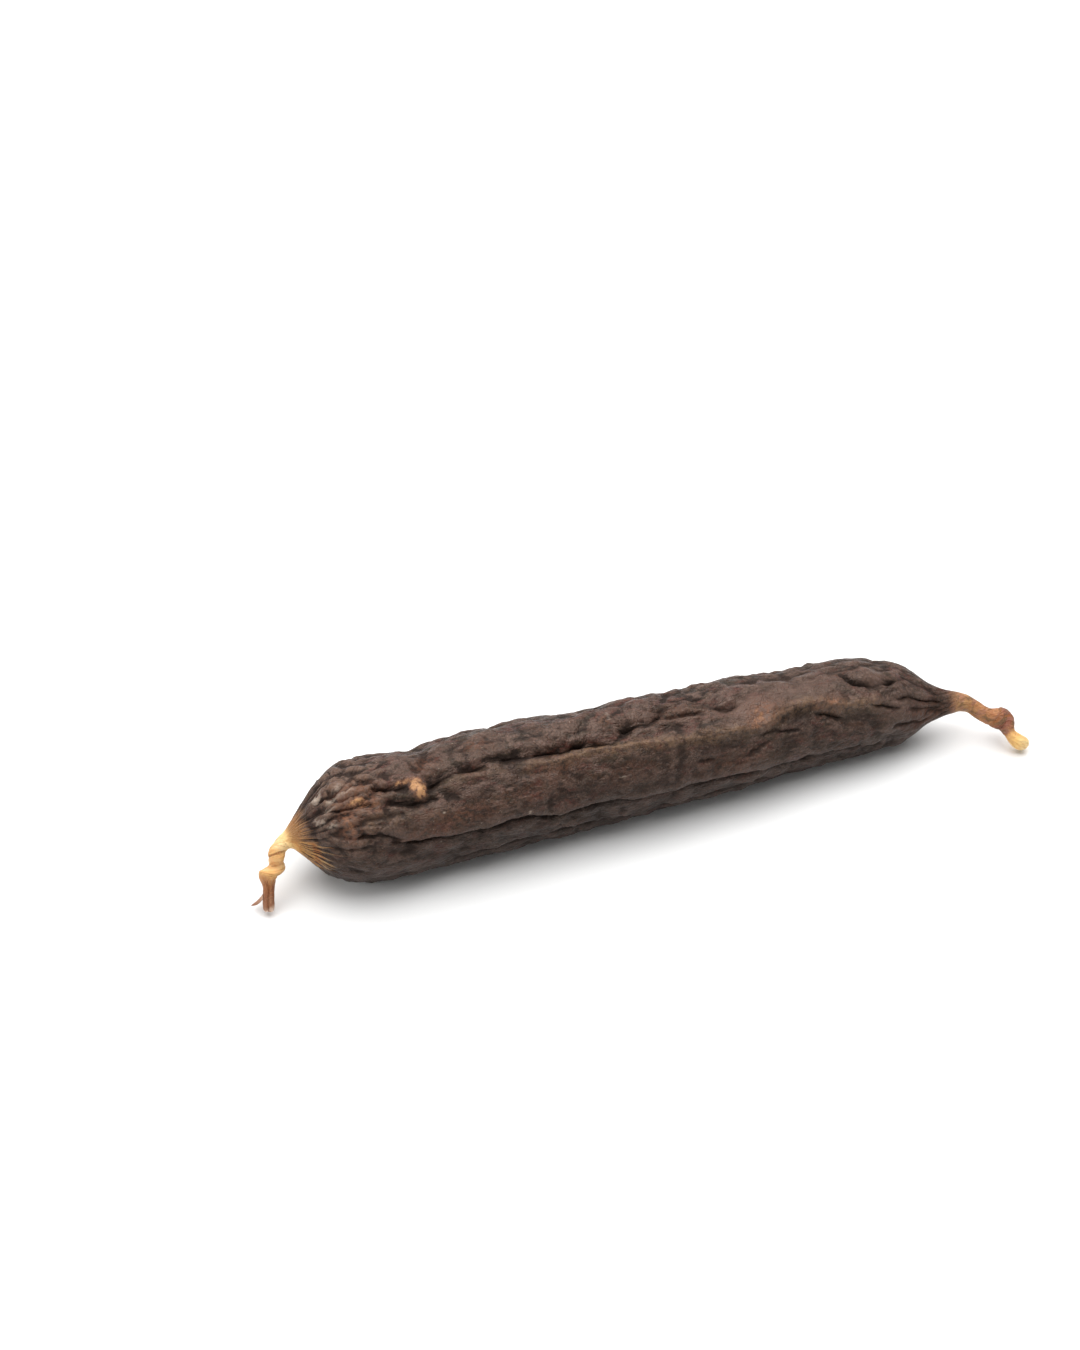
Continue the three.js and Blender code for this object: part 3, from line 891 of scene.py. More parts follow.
@dataclass
class Sausage:
    """The whole sausage: the casing on its filling, and both tails."""

    chart: CasingChart = field(default_factory=CasingChart)
    centreline: Centreline = field(default_factory=Centreline)
    sliver: Sliver = field(default_factory=Sliver)
    name: str = "sausage_casing"
    flattest: float = 24.0
    give: float = 0.95
    rest_rounding: float = 0.12
    # Where the ridges of the left end get a painted highlight, and how much of it goes to the ridge mask.
    lit_ridges: Spot = Spot(12.5, 75.0, 6.5, 8.5, 1.0)
    lit_ridges_share: float = 0.7
    crease_shade_share: float = 0.55
    streak_along: float = 0.12
    streak_round: float = 22.0

    def build(self) -> bpy.types.Object:
        """Model the sausage.

        Returns:
            The finished object, at the origin.
        """
        relief = CasingRelief(self.chart)
        relief.shape()
        hollow = self._hollow(relief.height)
        # Painted highlight on the ridges of the left end.
        lit_ridges = self.chart.spot(self.lit_ridges) * np.clip(-2.5 * hollow, 0.0, 1.0)
        places = self._lay(relief)
        layers = {
            # hollow darkens the folds as painted shade, and the crease mask adds a painted dark line at
            # their bottoms.
            "hollow": np.clip(hollow + self.crease_shade_share * relief.crease_shade, -1.0, 1.0),
            "stain": self.chart.spots(STAINS),
            "redden": self.chart.spots(REDS),
            "fleck": self.chart.spots(FLECKS),
            "low": self.chart.facing(-4, 38),
            # Painted shade on the underside.
            "underside_shade": self.chart.facing(-52, 84),
            "shade": self.chart.spots(PAINTED_SHADE_AND_LIGHT) - lit_ridges,
            "ridge_light": relief.ridge_light + self.lit_ridges_share * lit_ridges,
        }
        bm = self._blank()
        self._shape(bm, places, layers)
        bmesh.ops.recalc_face_normals(bm, faces=bm.faces)
        bmesh.ops.scale(bm, vec=(MM, MM, MM), verts=bm.verts)
        mesh = bpy.data.meshes.new(self.name)
        bm.to_mesh(mesh)
        bm.free()
        mesh.shade_smooth()
        piece = bpy.data.objects.new(self.name, mesh)
        bpy.context.scene.collection.objects.link(piece)
        return piece

    def _lay(self, relief: CasingRelief) -> Array:
        """Bend the relief along the centreline and rest it on the table.

        Args:
            relief: The relief on the chart.

        Returns:
            A place for each grid point, in mm.
        """
        chart = self.chart
        centre, front, up = self.centreline.frames(chart.distance)
        forward = np.cross(up, front)
        radius = np.maximum(chart.reach + relief.height, 0.25)
        angle = chart.around + relief.slide_around / np.maximum(chart.reach, 1.0)
        across = (radius * np.cos(angle))[..., None] * front[:, None]
        rise = (radius * np.sin(angle))[..., None] * up[:, None]
        places = centre[:, None] + across + rise + relief.slide_along[..., None] * forward[:, None]
        lifted = (places[..., 2] + np.sqrt(places[..., 2] ** 2 + self.rest_rounding**2)) / 2
        lifted = lifted - lifted.min()
        above = np.maximum(lifted - self.flattest, 0.0)
        places[..., 2] = lifted - above + self.give * (1 - np.exp(-above / self.give))
        return places

    def _hollow(self, height: Array) -> Array:
        """How deep each point lies in a fold, from -1 on a ridge to 1 in a crease."""
        narrow = self.chart.soften(height, 8) - height
        wide = self.chart.soften(height, 60) - height
        return np.clip(2.3 * narrow + 0.55 * wide, -1.0, 1.0)

    def _blank(self) -> bmesh.types.BMesh:
        """Make a closed tube with one ring of vertices for each ring of the chart."""
        bm = bmesh.new()
        bmesh.ops.create_cone(
            bm, cap_ends=True, cap_tris=True, segments=self.chart.columns, radius1=1, radius2=1, depth=1
        )
        sides = [edge for edge in bm.edges if abs(edge.verts[0].co.z - edge.verts[1].co.z) > 0.5]
        cuts = len(self.chart.distance) - 2
        bmesh.ops.subdivide_edges(bm, edges=sides, cuts=cuts, use_grid_fill=True)
        return bm

    def _shape(self, bm: bmesh.types.BMesh, places: Array, layers: dict[str, Array]) -> None:
        """Move the tube's vertices to their places and store what the finish reads.

        Args:
            bm: The tube.
            places: A place for each grid point.
            layers: Named values for each grid point.
        """
        rings, columns = places.shape[:2]
        chart_layer = bm.verts.layers.float_vector.new("chart")
        spread_layer = bm.verts.layers.float_vector.new("spread")
        value_layers = {name: bm.verts.layers.float.new(name) for name in layers}
        patch = []
        for vert in bm.verts:
            ring = round((vert.co.z + 0.5) * (rings - 1))
            column = round(math.atan2(vert.co.y, vert.co.x) / (2 * math.pi) * columns) % columns
            if vert.co.xy.length < 0.5:
                place = places[ring].mean(axis=0)
            else:
                place = places[ring, column]
            vert[chart_layer] = Vector(self.chart.unbent[ring, column])
            turned = self.chart.angle[column] - self.chart.twist[ring, column]
            across = (self.streak_round * math.cos(turned), self.streak_round * math.sin(turned))
            vert[spread_layer] = Vector((self.streak_along * self.chart.distance[ring], *across))
            for name, layer in value_layers.items():
                vert[layer] = float(layers[name][ring, column])
            if self._on_patch(self.chart.distance[ring], self.chart.angle[column]):
                patch.append(vert)
            vert.co = Vector(place)
        chosen = set(patch)
        faces = [face for face in bm.faces if all(vert in chosen for vert in face.verts)]
        log.info("the sliver grows from %d faces", len(faces))
        if faces:
            self.sliver.grow(bm, faces, chart_layer)

    def _on_patch(self, distance: float, angle: float) -> bool:
        """Whether a grid point is in the patch that the sliver grows from."""
        apart = (math.degrees(angle) - self.sliver.angle + 180) % 360 - 180
        along = abs(distance - self.sliver.distance) <= self.chart.tail_step * self.sliver.rings / 2
        return along and abs(apart) <= self.sliver.spread


# ------------------------------------------------------------------------------------- finishes


class Blend(Enum):
    """How one colour is laid over another."""

    MIX = "MIX"
    MULTIPLY = "MULTIPLY"


class NodeBench:
    """A short way to add and join the nodes of one tree."""

    def __init__(self, tree: bpy.types.NodeTree) -> None:
        """Work on a tree.

        Args:
            tree: The tree to add nodes to.
        """
        self.tree = tree

    def add(self, kind: str, **settings: object) -> bpy.types.Node:
        """Add a node.

        Args:
            kind: Its type's name.
            **settings: Properties to set on it.

        Returns:
            The node.
        """
        node = self.tree.nodes.new(kind)
        for name, value in settings.items():
            setattr(node, name, value)
        return node

    def feed(self, socket: Socket, value: object) -> None:
        """Join a socket to another node's output, or set it to a plain value.

        Args:
            socket: The input.
            value: An output socket, a number, or a colour.
        """
        if isinstance(value, Socket):
            self.tree.links.new(value, socket)
        elif isinstance(value, tuple) and len(value) == 3 and socket.type == "RGBA":
            socket.default_value = (*value, 1.0)
        else:
            socket.default_value = value

    def attribute(self, name: str) -> Socket:
        """Read one value that the casing's vertices carry."""
        return self.add("ShaderNodeAttribute", attribute_name=name).outputs["Fac"]

    def vector_attribute(self, name: str) -> Socket:
        """Read one vector that the casing's vertices carry."""
        return self.add("ShaderNodeAttribute", attribute_name=name).outputs["Vector"]

    def product(self, first: object, *others: object) -> Socket:
        """Multiply values, two at a time."""
        for other in others:
            first = self.math("MULTIPLY", first, other)
        return first

    def math(self, operation: str, first: object, second: object = 0.0) -> Socket:
        """Add a Math node.

        Args:
            operation: Its operation.
            first: The first value or output.
            second: The second.

        Returns:
            The result.
        """
        node = self.add("ShaderNodeMath", operation=operation)
        self.feed(node.inputs[0], first)
        self.feed(node.inputs[1], second)
        return node.outputs[0]

    def stretch(self, vector: Socket, scale: tuple[float, float, float]) -> Socket:
        """Scale a position by a different amount along each axis."""
        node = self.add("ShaderNodeVectorMath", operation="MULTIPLY")
        self.feed(node.inputs[0], vector)
        node.inputs[1].default_value = scale
        return node.outputs[0]

    def noise(self, vector: Socket, scale: float, detail: float = 2.0, distortion: float = 0.0) -> Socket:
        """Add a noise texture.

        Args:
            vector: Where it is read.
            scale: Its frequency.
            detail: Its number of finer layers.
            distortion: How much it is bent by itself.

        Returns:
            Its value, about 0.5.
        """
        node = self.add("ShaderNodeTexNoise")
        self.feed(node.inputs["Vector"], vector)
        node.inputs["Scale"].default_value = scale
        node.inputs["Detail"].default_value = detail
        node.inputs["Distortion"].default_value = distortion
        return node.outputs["Fac"]

    def ease(
        self, value: object, low: float, high: float, to_low: float = 0.0, to_high: float = 1.0
    ) -> Socket:
        """Map a range smoothly to another.

        Args:
            value: The value to map.
            low: The range's start.
            high: The range's end.
            to_low: The result at the start.
            to_high: The result at the end.

        Returns:
            The mapped value.
        """
        node = self.add("ShaderNodeMapRange", interpolation_type="SMOOTHSTEP")
        for socket, number in zip(node.inputs, (value, low, high, to_low, to_high)):
            self.feed(socket, number)
        return node.outputs[0]

    def mix(self, share: object, under: object, over: object, blend: Blend = Blend.MIX) -> Socket:
        """Lay one colour over another.

        Args:
            share: How much of the upper colour shows.
            under: The lower colour.
            over: The upper colour.
            blend: How it is laid.

        Returns:
            The result.
        """
        node = self.add("ShaderNodeMix", data_type="RGBA", blend_type=blend.value)
        self.feed(node.inputs[0], share)
        self.feed(node.inputs[6], under)
        self.feed(node.inputs[7], over)
        return node.outputs[2]

    def ramp(self, value: object, stops: tuple[tuple[float, Colour], ...]) -> Socket:
        """Add a colour ramp.

        Args:
            value: What picks the colour, from 0 to 1.
            stops: Each stop's position and colour.

        Returns:
            The colour.
        """
        node = self.add("ShaderNodeValToRGB")
        self.feed(node.inputs[0], value)
        elements = node.color_ramp.elements
        while len(elements) < len(stops):
            elements.new(1.0)
        for element, (position, colour) in zip(elements, stops):
            element.position = position
            element.color = (*colour, 1.0)
        return node.outputs[0]


def blotch_group() -> bpy.types.NodeTree:
    """Make the group that gives soft blotches drawn out along the sausage.

    Returns:
        The group, with Vector, Frequency, Low and High in and Mask out.
    """
    tree = bpy.data.node_groups.new("Drawn out blotches", "ShaderNodeTree")
    tree.interface.new_socket("Vector", in_out="INPUT", socket_type="NodeSocketVector")
    for name in ("Frequency", "Low", "High"):
        tree.interface.new_socket(name, in_out="INPUT", socket_type="NodeSocketFloat")
    tree.interface.new_socket("Mask", in_out="OUTPUT", socket_type="NodeSocketFloat")
    bench = NodeBench(tree)
    inlet = bench.add("NodeGroupInput")
    drawn = bench.stretch(inlet.outputs["Vector"], (0.45, 1.0, 1.0))
    noise = bench.add("ShaderNodeTexNoise")
    bench.feed(noise.inputs["Vector"], drawn)
    bench.feed(noise.inputs["Scale"], inlet.outputs["Frequency"])
    noise.inputs["Detail"].default_value = 4.0
    noise.inputs["Roughness"].default_value = 0.6
    shaped = bench.add("ShaderNodeMapRange", interpolation_type="SMOOTHSTEP")
    bench.feed(shaped.inputs[0], noise.outputs["Fac"])
    bench.feed(shaped.inputs[1], inlet.outputs["Low"])
    bench.feed(shaped.inputs[2], inlet.outputs["High"])
    outlet = bench.add("NodeGroupOutput")
    bench.feed(outlet.inputs["Mask"], shaped.outputs[0])
    return tree


def grain_group() -> bpy.types.NodeTree:
    """Make the group that gives the casing's finest wrinkles.

    Returns:
        The group, with Vector in and Height out.
    """
    tree = bpy.data.node_groups.new("Fine casing grain", "ShaderNodeTree")
    tree.interface.new_socket("Vector", in_out="INPUT", socket_type="NodeSocketVector")
    tree.interface.new_socket("Height", in_out="OUTPUT", socket_type="NodeSocketFloat")
    bench = NodeBench(tree)
    inlet = bench.add("NodeGroupInput")
    long_lines = bench.noise(bench.stretch(inlet.outputs["Vector"], (0.72, 1.0, 1.0)), 0.85, 3.0, 0.4)
    folded = bench.math("ABSOLUTE", bench.math("SUBTRACT", long_lines, 0.5))
    pores = bench.noise(inlet.outputs["Vector"], 3.2, 3.0)
    lines = bench.noise(bench.stretch(inlet.outputs["Vector"], (0.8, 1.0, 1.0)), 0.42, 2.0, 0.8)
    cracks = bench.ease(bench.math("ABSOLUTE", bench.math("SUBTRACT", lines, 0.5)), 0.0, 0.05)
    height = bench.math("ADD", bench.product(folded, 2.4), bench.product(pores, 0.6))
    height = bench.math("ADD", height, bench.product(cracks, 0.3))
    outlet = bench.add("NodeGroupOutput")
    bench.feed(outlet.inputs["Height"], height)
    return tree


@dataclass(frozen=True)
class CasingFinish:
    """Dried natural casing: dark brown over the meat, amber and golden where it is bare gut."""

    brown: Colour = (0.041, 0.0195, 0.0125)
    warm: Colour = (0.082, 0.032, 0.016)
    red: Colour = (0.085, 0.026, 0.019)
    # Near black: dark blotches and specks, and the painted shade in the folds, below the seam and
    # underneath.
    dark: Colour = (0.012, 0.0065, 0.0048)
    olive: Colour = (0.030, 0.0205, 0.0115)
    # Pale pinkish grey: pale blotches, and the painted highlights on ridges and top faces.
    bloom_and_highlight: Colour = (0.130, 0.080, 0.062)
    rust: Colour = (0.118, 0.046, 0.025)
    # Tan of the painted highlight along the ridge edges.
    ridge_highlight: Colour = (0.185, 0.110, 0.062)
    stain_edge: Colour = (0.19, 0.088, 0.050)
    tan: Colour = (0.53, 0.285, 0.135)
    fat: Colour = (0.45, 0.36, 0.29)
    gut_fibre: Colour = (0.55, 0.27, 0.12)
    gut_upper: Colour = (0.27, 0.132, 0.055)
    gut_pink: Colour = (0.27, 0.12, 0.085)
    gut_murky: Colour = (0.15, 0.085, 0.035)
    gut_streak: Colour = (0.085, 0.040, 0.018)
    # Painted shade in the folds of the bare gut.
    gut_fold_shade: Colour = (0.30, 0.11, 0.035)
    gut_stops: tuple[tuple[float, Colour], ...] = (
        (-15.0, (0.80, 0.62, 0.50)),
        (-14.5, (0.50, 0.33, 0.24)),
        (-13.6, (0.25, 0.112, 0.056)),
        (-11.0, (0.27, 0.110, 0.050)),
        (-9.2, (0.36, 0.150, 0.055)),
        (-7.6, (0.76, 0.43, 0.16)),
        (-5.4, (0.82, 0.52, 0.24)),
        (-3.6, (0.76, 0.44, 0.16)),
        (-1.8, (0.90, 0.66, 0.34)),
        (-0.2, (0.88, 0.62, 0.28)),
        (1.2, (0.62, 0.33, 0.11)),
        (3.0, (0.44, 0.240, 0.080)),
        (5.0, (0.40, 0.235, 0.090)),
        (8.0, (0.30, 0.190, 0.090)),
        (138.0, (0.13, 0.060, 0.042)),
        (140.0, (0.30, 0.15, 0.080)),
        (142.5, (0.40, 0.215, 0.085)),
        (147.5, (0.42, 0.190, 0.082)),
        (149.6, (0.38, 0.165, 0.070)),
        (150.8, (0.26, 0.095, 0.060)),
        (153.4, (0.25, 0.090, 0.052)),
        (154.6, (0.62, 0.33, 0.13)),
        (156.2, (0.80, 0.50, 0.17)),
        (158.2, (0.88, 0.66, 0.32)),
    )
    roughness: float = 0.40
    bump_mm: float = 0.26
    shine: float = 0.34
    shine_tint: Colour = (1.0, 0.84, 0.75)
    glow: float = 0.10
    glow_spread: Colour = (1.0, 0.45, 0.2)
    glow_mm: float = 0.8

    def material(self) -> bpy.types.Material:
        """Build the finish.

        Returns:
            The material.
        """
        made = bpy.data.materials.new("casing")
        made.use_nodes = True
        made.node_tree.nodes.clear()
        bench = NodeBench(made.node_tree)
        chart = bench.vector_attribute("chart")
        hollow = bench.attribute("hollow")
        blotches = blotch_group()
        bare = self._bare(bench, chart)
        colour = self._body_colour(bench, chart, hollow, blotches)
        colour = bench.mix(bare, colour, self._gut_colour(bench, chart, hollow))
        shader = bench.add("ShaderNodeBsdfPrincipled")
        bench.feed(shader.inputs["Base Color"], colour)
        bench.feed(shader.inputs["Roughness"], self._roughness(bench, chart, hollow, bare, blotches))
        bench.feed(shader.inputs["Normal"], self._normal(bench, chart))
        shader.inputs["Subsurface Weight"].default_value = self.glow
        shader.inputs["Subsurface Radius"].default_value = self.glow_spread
        shader.inputs["Subsurface Scale"].default_value = self.glow_mm * MM
        shader.inputs["Specular IOR Level"].default_value = self.shine
        shader.inputs["Specular Tint"].default_value = (*self.shine_tint, 1.0)
        out = bench.add("ShaderNodeOutputMaterial")
        bench.feed(out.inputs["Surface"], shader.outputs[0])
        return made

    @staticmethod
    def _blotch(
        bench: NodeBench, group: bpy.types.NodeTree, place: Socket, frequency: float, low: float,
        high: float,
    ) -> Socket:
        """Place the blotch group with its own size and strength."""
        node = bench.add("ShaderNodeGroup", node_tree=group)
        bench.feed(node.inputs["Vector"], place)
        for name, value in (("Frequency", frequency), ("Low", low), ("High", high)):
            node.inputs[name].default_value = value
        return node.outputs["Mask"]

    @staticmethod
    def _moved(bench: NodeBench, place: Socket, shift: float) -> Socket:
        """The same place, moved, so that two patterns don't line up."""
        node = bench.add("ShaderNodeVectorMath", operation="ADD")
        bench.feed(node.inputs[0], place)
        node.inputs[1].default_value = (shift, shift, shift)
        return node.outputs[0]

    @staticmethod
    def _along(bench: NodeBench, chart: Socket) -> Socket:
        """The distance from the left pinch."""
        split = bench.add("ShaderNodeSeparateXYZ")
        bench.feed(split.inputs[0], chart)
        return split.outputs[0]

    @staticmethod
    def _streaks(bench: NodeBench) -> Socket:
        """Thin streaks that run into the pinches, about 0."""
        spread = bench.vector_attribute("spread")
        return bench.math("SUBTRACT", bench.noise(spread, 1.0, 3.0), 0.5)

    def _bare(self, bench: NodeBench, chart: Socket) -> Socket:
        """Where the casing is bare gut, from 0 to 1."""
        along = self._along(bench, chart)
        low = bench.attribute("low")
        streaks = self._streaks(bench)
        reach = bench.math("ADD", 1.6, bench.product(low, 21.0))
        left = bench.math("ADD", along, bench.product(streaks, reach))
        left = bench.math("SUBTRACT", bench.math("ADD", left, 0.7), bench.product(low, 1.7))
        right = bench.math("ADD", along, bench.product(streaks, 5.0))
        left_mask = bench.ease(left, 2.8, 5.0, 1.0, 0.0)
        right_mask = bench.ease(right, BODY - 1.6, BODY + 1.2)
        return bench.math("MAXIMUM", left_mask, right_mask)

    def _gut_colour(
        self, bench: NodeBench, chart: Socket, hollow: Socket
    ) -> Socket:
        """The colour of the bare gut along both tails."""
        along = self._along(bench, chart)
        uneven = bench.product(bench.math("SUBTRACT", bench.noise(chart, 0.55, 2.0), 0.5), 2.6)
        share = bench.math("ADD", bench.math("ADD", along, uneven), LEFT_TAIL)
        share = bench.math("DIVIDE", share, TOTAL)
        stops = tuple(((at + LEFT_TAIL) / TOTAL, colour) for at, colour in self.gut_stops)
        colour = bench.ramp(share, stops)
        fibres = bench.noise(bench.stretch(chart, (0.22, 1.0, 1.0)), 1.6, 3.0)
        fibrous = bench.ease(fibres, 0.42, 0.68, 0.0, 0.4)
        colour = bench.mix(fibrous, colour, self.gut_fibre, Blend.MULTIPLY)
        left_half = bench.ease(along, 30.0, 60.0, 1.0, 0.0)
        off_the_front = bench.ease(bench.attribute("low"), 0.2, 0.85, 0.8, 0.0)
        upper = bench.product(off_the_front, bench.ease(along, -0.4, 1.3), left_half)
        colour = bench.mix(upper, colour, self.gut_upper)
        right_tail = bench.ease(along, BODY - 3, BODY + 2)
        pink = bench.noise(self._moved(bench, chart, 7.0), 0.6, 2.0)
        before_tip = bench.ease(along, BODY + 13.5, BODY + 15.0, 1.0, 0.0)
        pink = bench.product(bench.ease(pink, 0.50, 0.62, 0.0, 0.6), right_tail, before_tip)
        colour = bench.mix(pink, colour, self.gut_pink)
        murky = bench.noise(self._moved(bench, chart, 19.0), 0.75, 3.0)
        short_of_tip = bench.ease(along, BODY + 13, BODY + 15, 1.0, 0.0)
        murky = bench.product(bench.ease(murky, 0.48, 0.62, 0.0, 0.75), right_tail, short_of_tip)
        colour = bench.mix(murky, colour, self.gut_murky)
        streaked = bench.product(bench.ease(along, 1.2, 3.0), left_half)
        streaked = bench.product(streaked, bench.ease(self._streaks(bench), -0.05, 0.03))
        colour = bench.mix(streaked, colour, self.gut_streak)
        # Painted shade: the gut's folds are darkened.
        return bench.mix(bench.ease(hollow, 0.03, 0.45, 0.0, 0.85), colour, self.gut_fold_shade)

    def _body_colour(
        self, bench: NodeBench, chart: Socket, hollow: Socket,
        blotches: bpy.types.NodeTree,
    ) -> Socket:
        """The dark brown of the casing over the meat, with its blotches, painted shade in the folds and
        underneath, and painted highlights on the ridges.
        """
        # Frequency, where the blotch starts and is full, how much of it shows, and its colour.
        layers = (
            (0.13, 0.46, 0.60, 0.50, self.warm),
            (0.20, 0.48, 0.59, 0.90, self.olive),
            (0.34, 0.49, 0.59, 0.90, self.red),
            (0.46, 0.49, 0.60, 0.80, self.dark),
            (0.62, 0.50, 0.61, 0.85, self.bloom_and_highlight),
            (1.00, 0.52, 0.63, 0.70, self.olive),
            (1.60, 0.52, 0.65, 0.60, self.bloom_and_highlight),
            (1.15, 0.53, 0.67, 0.85, self.dark),
        )
        colour = self.brown
        for index, (frequency, low, high, share, paint) in enumerate(layers):
            place = self._moved(bench, chart, 11.3 * index)
            mask = self._blotch(bench, blotches, place, frequency, low, high)
            colour = bench.mix(bench.product(mask, share), colour, paint)
        # Painted highlight: the ridges are lightened.
        ridge = bench.ease(hollow, -0.02, -0.35)
        colour = bench.mix(bench.product(ridge, 0.50), colour, self.bloom_and_highlight)
        speckle = bench.noise(self._moved(bench, chart, 5.0), 2.3, 2.0)
        colour = bench.mix(bench.ease(speckle, 0.38, 0.62, 0.42, 0.0), colour, self.dark)
        specks = bench.ease(bench.noise(chart, 1.7, 1.0), 0.74, 0.80)
        colour = bench.mix(bench.product(specks, 0.35), colour, self.fat)
        # Painted shade: the folds darken, with a painted dark line at their bottoms.
        colour = bench.mix(bench.ease(hollow, 0.05, 0.52, 0.0, 0.92), colour, self.dark)
        along = self._along(bench, chart)
        # A band near the left pinch is darker.
        darker_near_pinch = bench.product(bench.ease(along, 3.0, 4.5), bench.ease(along, 6.0, 10.0, 0.36, 0.0))
        colour = bench.mix(darker_near_pinch, colour, self.dark)
        grain = bench.noise(self._moved(bench, chart, 3.0), 1.3, 4.0)
        # Painted light where the shade spots are negative, painted shade where they are positive, with a few
        # real darker or paler patches.
        shade = bench.attribute("shade")
        colour = bench.mix(bench.ease(shade, 0.0, -1.0), colour, self.bloom_and_highlight)
        colour = bench.mix(bench.ease(shade, 0.05, 1.1, 0.0, 0.85), colour, self.dark)
        # Painted shade: the underside is darkened.
        underside_shade = bench.attribute("underside_shade")
        colour = bench.mix(bench.product(underside_shade, 0.65), colour, self.dark)
        # Painted highlight: the ridge edges are tinted a lit tan.
        ridge_light = bench.attribute("ridge_light")
        ridge_lit = bench.product(ridge_light, bench.ease(grain, 0.36, 0.6, 0.1, 0.65))
        colour = bench.mix(ridge_lit, colour, self.ridge_highlight)
        redden = bench.attribute("redden")
        reddened = bench.product(redden, bench.ease(grain, 0.32, 0.66))
        colour = bench.mix(bench.product(reddened, 0.75), colour, self.rust)
        stain = bench.attribute("stain")
        stained = bench.product(stain, bench.ease(grain, 0.3, 0.7, 0.4, 1.6))
        colour = bench.mix(bench.ease(stained, 0.08, 0.6, 0.0, 0.75), colour, self.stain_edge)
        colour = bench.mix(bench.ease(stained, 0.35, 1.15, 0.0, 0.9), colour, self.tan)
        fleck = bench.attribute("fleck")
        smears = bench.noise(bench.stretch(self._moved(bench, chart, 31.0), (0.45, 1.0, 1.0)), 1.1, 2.0)
        flecked = bench.ease(bench.product(fleck, bench.ease(smears, 0.35, 0.65, 0.3, 1.5)), 0.1, 1.2)
        return bench.mix(bench.product(flecked, 0.75), colour, self.fat)

    def _roughness(
        self, bench: NodeBench, chart: Socket, hollow: Socket,
        bare: Socket, blotches: bpy.types.NodeTree,
    ) -> Socket:
        """A dull satin that is patchy, and duller in the folds."""
        patchy = self._blotch(bench, blotches, chart, 0.6, 0.35, 0.7)
        value = bench.math("ADD", self.roughness, bench.product(patchy, 0.2))
        value = bench.math("ADD", value, bench.ease(hollow, 0.1, 0.6, 0.0, 0.25))
        return bench.math("SUBTRACT", value, bench.product(bare, 0.06))

    def _normal(self, bench: NodeBench, chart: Socket) -> Socket:
        """The finest wrinkles and pores."""
        grain = bench.add("ShaderNodeGroup", node_tree=grain_group())
        bench.feed(grain.inputs["Vector"], chart)
        bump = bench.add("ShaderNodeBump")
        bump.inputs["Strength"].default_value = 1.0
        bump.inputs["Distance"].default_value = self.bump_mm * MM
        bench.feed(bump.inputs["Height"], grain.outputs["Height"])
        return bump.outputs["Normal"]


@dataclass(frozen=True)
class FloorFinish:
    """A plain pale matt table."""

    colour: Colour = (0.86, 0.86, 0.855)
    roughness: float = 0.9

    def material(self) -> bpy.types.Material:
        """Build the finish."""
        made = bpy.data.materials.new("table")
        made.use_nodes = True
        shader = made.node_tree.nodes["Principled BSDF"]
        shader.inputs["Base Color"].default_value = (*self.colour, 1.0)
        shader.inputs["Roughness"].default_value = self.roughness
        shader.inputs["Specular IOR Level"].default_value = 0.1
        return made


# ---------------------------------------------------------------------------------------- studio


@dataclass
class SoftBox:
    """A square soft light that points at the sausage."""

    name: str
    azimuth: float
    elevation: float
    distance: float
    size: float
    power: float

    def build(self, target: Vector) -> None:
        """Hang the light.

        Args:
            target: Where it points.
        """
        data = bpy.data.lights.new(self.name, "AREA")
        data.size = self.size
        data.energy = self.power
        light = bpy.data.objects.new(self.name, data)
        away = direction(self.azimuth, self.elevation)
        light.location = target + away * self.distance
        light.rotation_euler = (-away).to_track_quat("-Z", "Y").to_euler()
        bpy.context.scene.collection.objects.link(light)


def direction(azimuth: float, elevation: float) -> Vector:
    """The way from the object to a viewer.

    Args:
        azimuth: Degrees from the front, turning towards +X.
        elevation: Degrees above the table.

    Returns:
        A vector of length 1.
    """
    turn, rise = math.radians(azimuth), math.radians(elevation)
    return Vector((math.sin(turn) * math.cos(rise), -math.cos(turn) * math.cos(rise), math.sin(rise)))


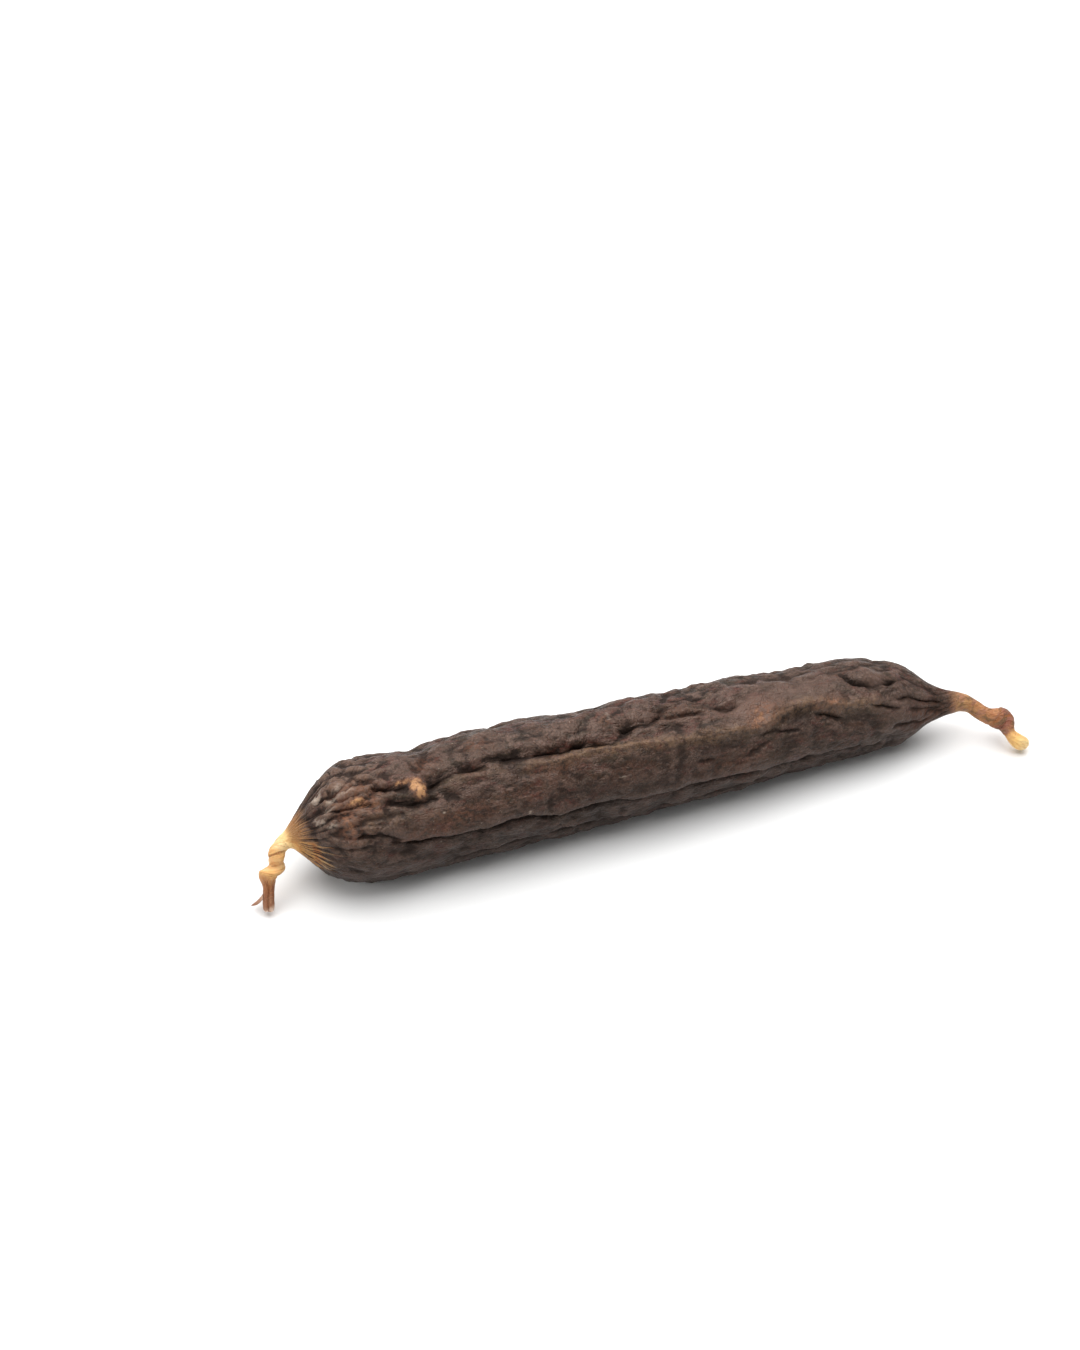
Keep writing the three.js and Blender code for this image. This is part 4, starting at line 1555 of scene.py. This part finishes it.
@dataclass
class Studio:
    """The table, the lights and the camera."""

    azimuth: float = -17.3
    elevation: float = 43.0
    distance: float = 0.6734
    aim: tuple[float, float, float] = (-0.0053, 0.0416, 0.0)
    lens: float = 85.0
    floor_size: float = 6.0
    sky: float = 0.27
    lights: tuple[SoftBox, ...] = (
        SoftBox("overhead", 165, 75, 0.75, 1.15, 14.0),
        SoftBox("left", -80, 30, 0.8, 0.4, 1.6),
    )

    def build(self) -> None:
        """Set up the studio."""
        self._floor()
        self._sky()
        self._camera()
        for light in self.lights:
            light.build(Vector((0, 0, 0.01)))
        bpy.context.scene.view_settings.view_transform = "Standard"

    def _floor(self) -> None:
        """Lay the table just under the sausage."""
        bm = bmesh.new()
        bmesh.ops.create_grid(bm, x_segments=1, y_segments=1, size=self.floor_size / 2)
        bmesh.ops.translate(bm, verts=bm.verts, vec=(0, 0, -0.00005))
        mesh = bpy.data.meshes.new("table")
        bm.to_mesh(mesh)
        bm.free()
        mesh.materials.append(FloorFinish().material())
        floor = bpy.data.objects.new("table", mesh)
        bpy.context.scene.collection.objects.link(floor)

    def _sky(self) -> None:
        """Fill the room with an even white light."""
        world = bpy.data.worlds.new("room")
        world.use_nodes = True
        background = world.node_tree.nodes["Background"]
        background.inputs["Color"].default_value = (1.0, 1.0, 1.0, 1.0)
        background.inputs["Strength"].default_value = self.sky
        bpy.context.scene.world = world

    def _camera(self) -> None:
        """Stand the camera at the front left, looking down."""
        data = bpy.data.cameras.new("camera")
        data.lens = self.lens
        camera = bpy.data.objects.new("camera", data)
        away = direction(self.azimuth, self.elevation)
        camera.location = Vector(self.aim) + away * self.distance
        camera.rotation_euler = (-away).to_track_quat("-Z", "Y").to_euler()
        bpy.context.scene.collection.objects.link(camera)
        bpy.context.scene.camera = camera


def main() -> None:
    """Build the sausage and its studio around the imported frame."""
    logging.basicConfig(level=logging.INFO, format="%(name)s: %(message)s")
    Studio().build()
    sausage = Sausage().build()
    sausage.data.materials.append(CasingFinish().material())
    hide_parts("sausage")
    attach(sausage, "root")
    mesh = sausage.data
    log.info("%s: %d vertices, %d faces", sausage.name, len(mesh.vertices), len(mesh.polygons))


if __name__ == "__main__":
    main()
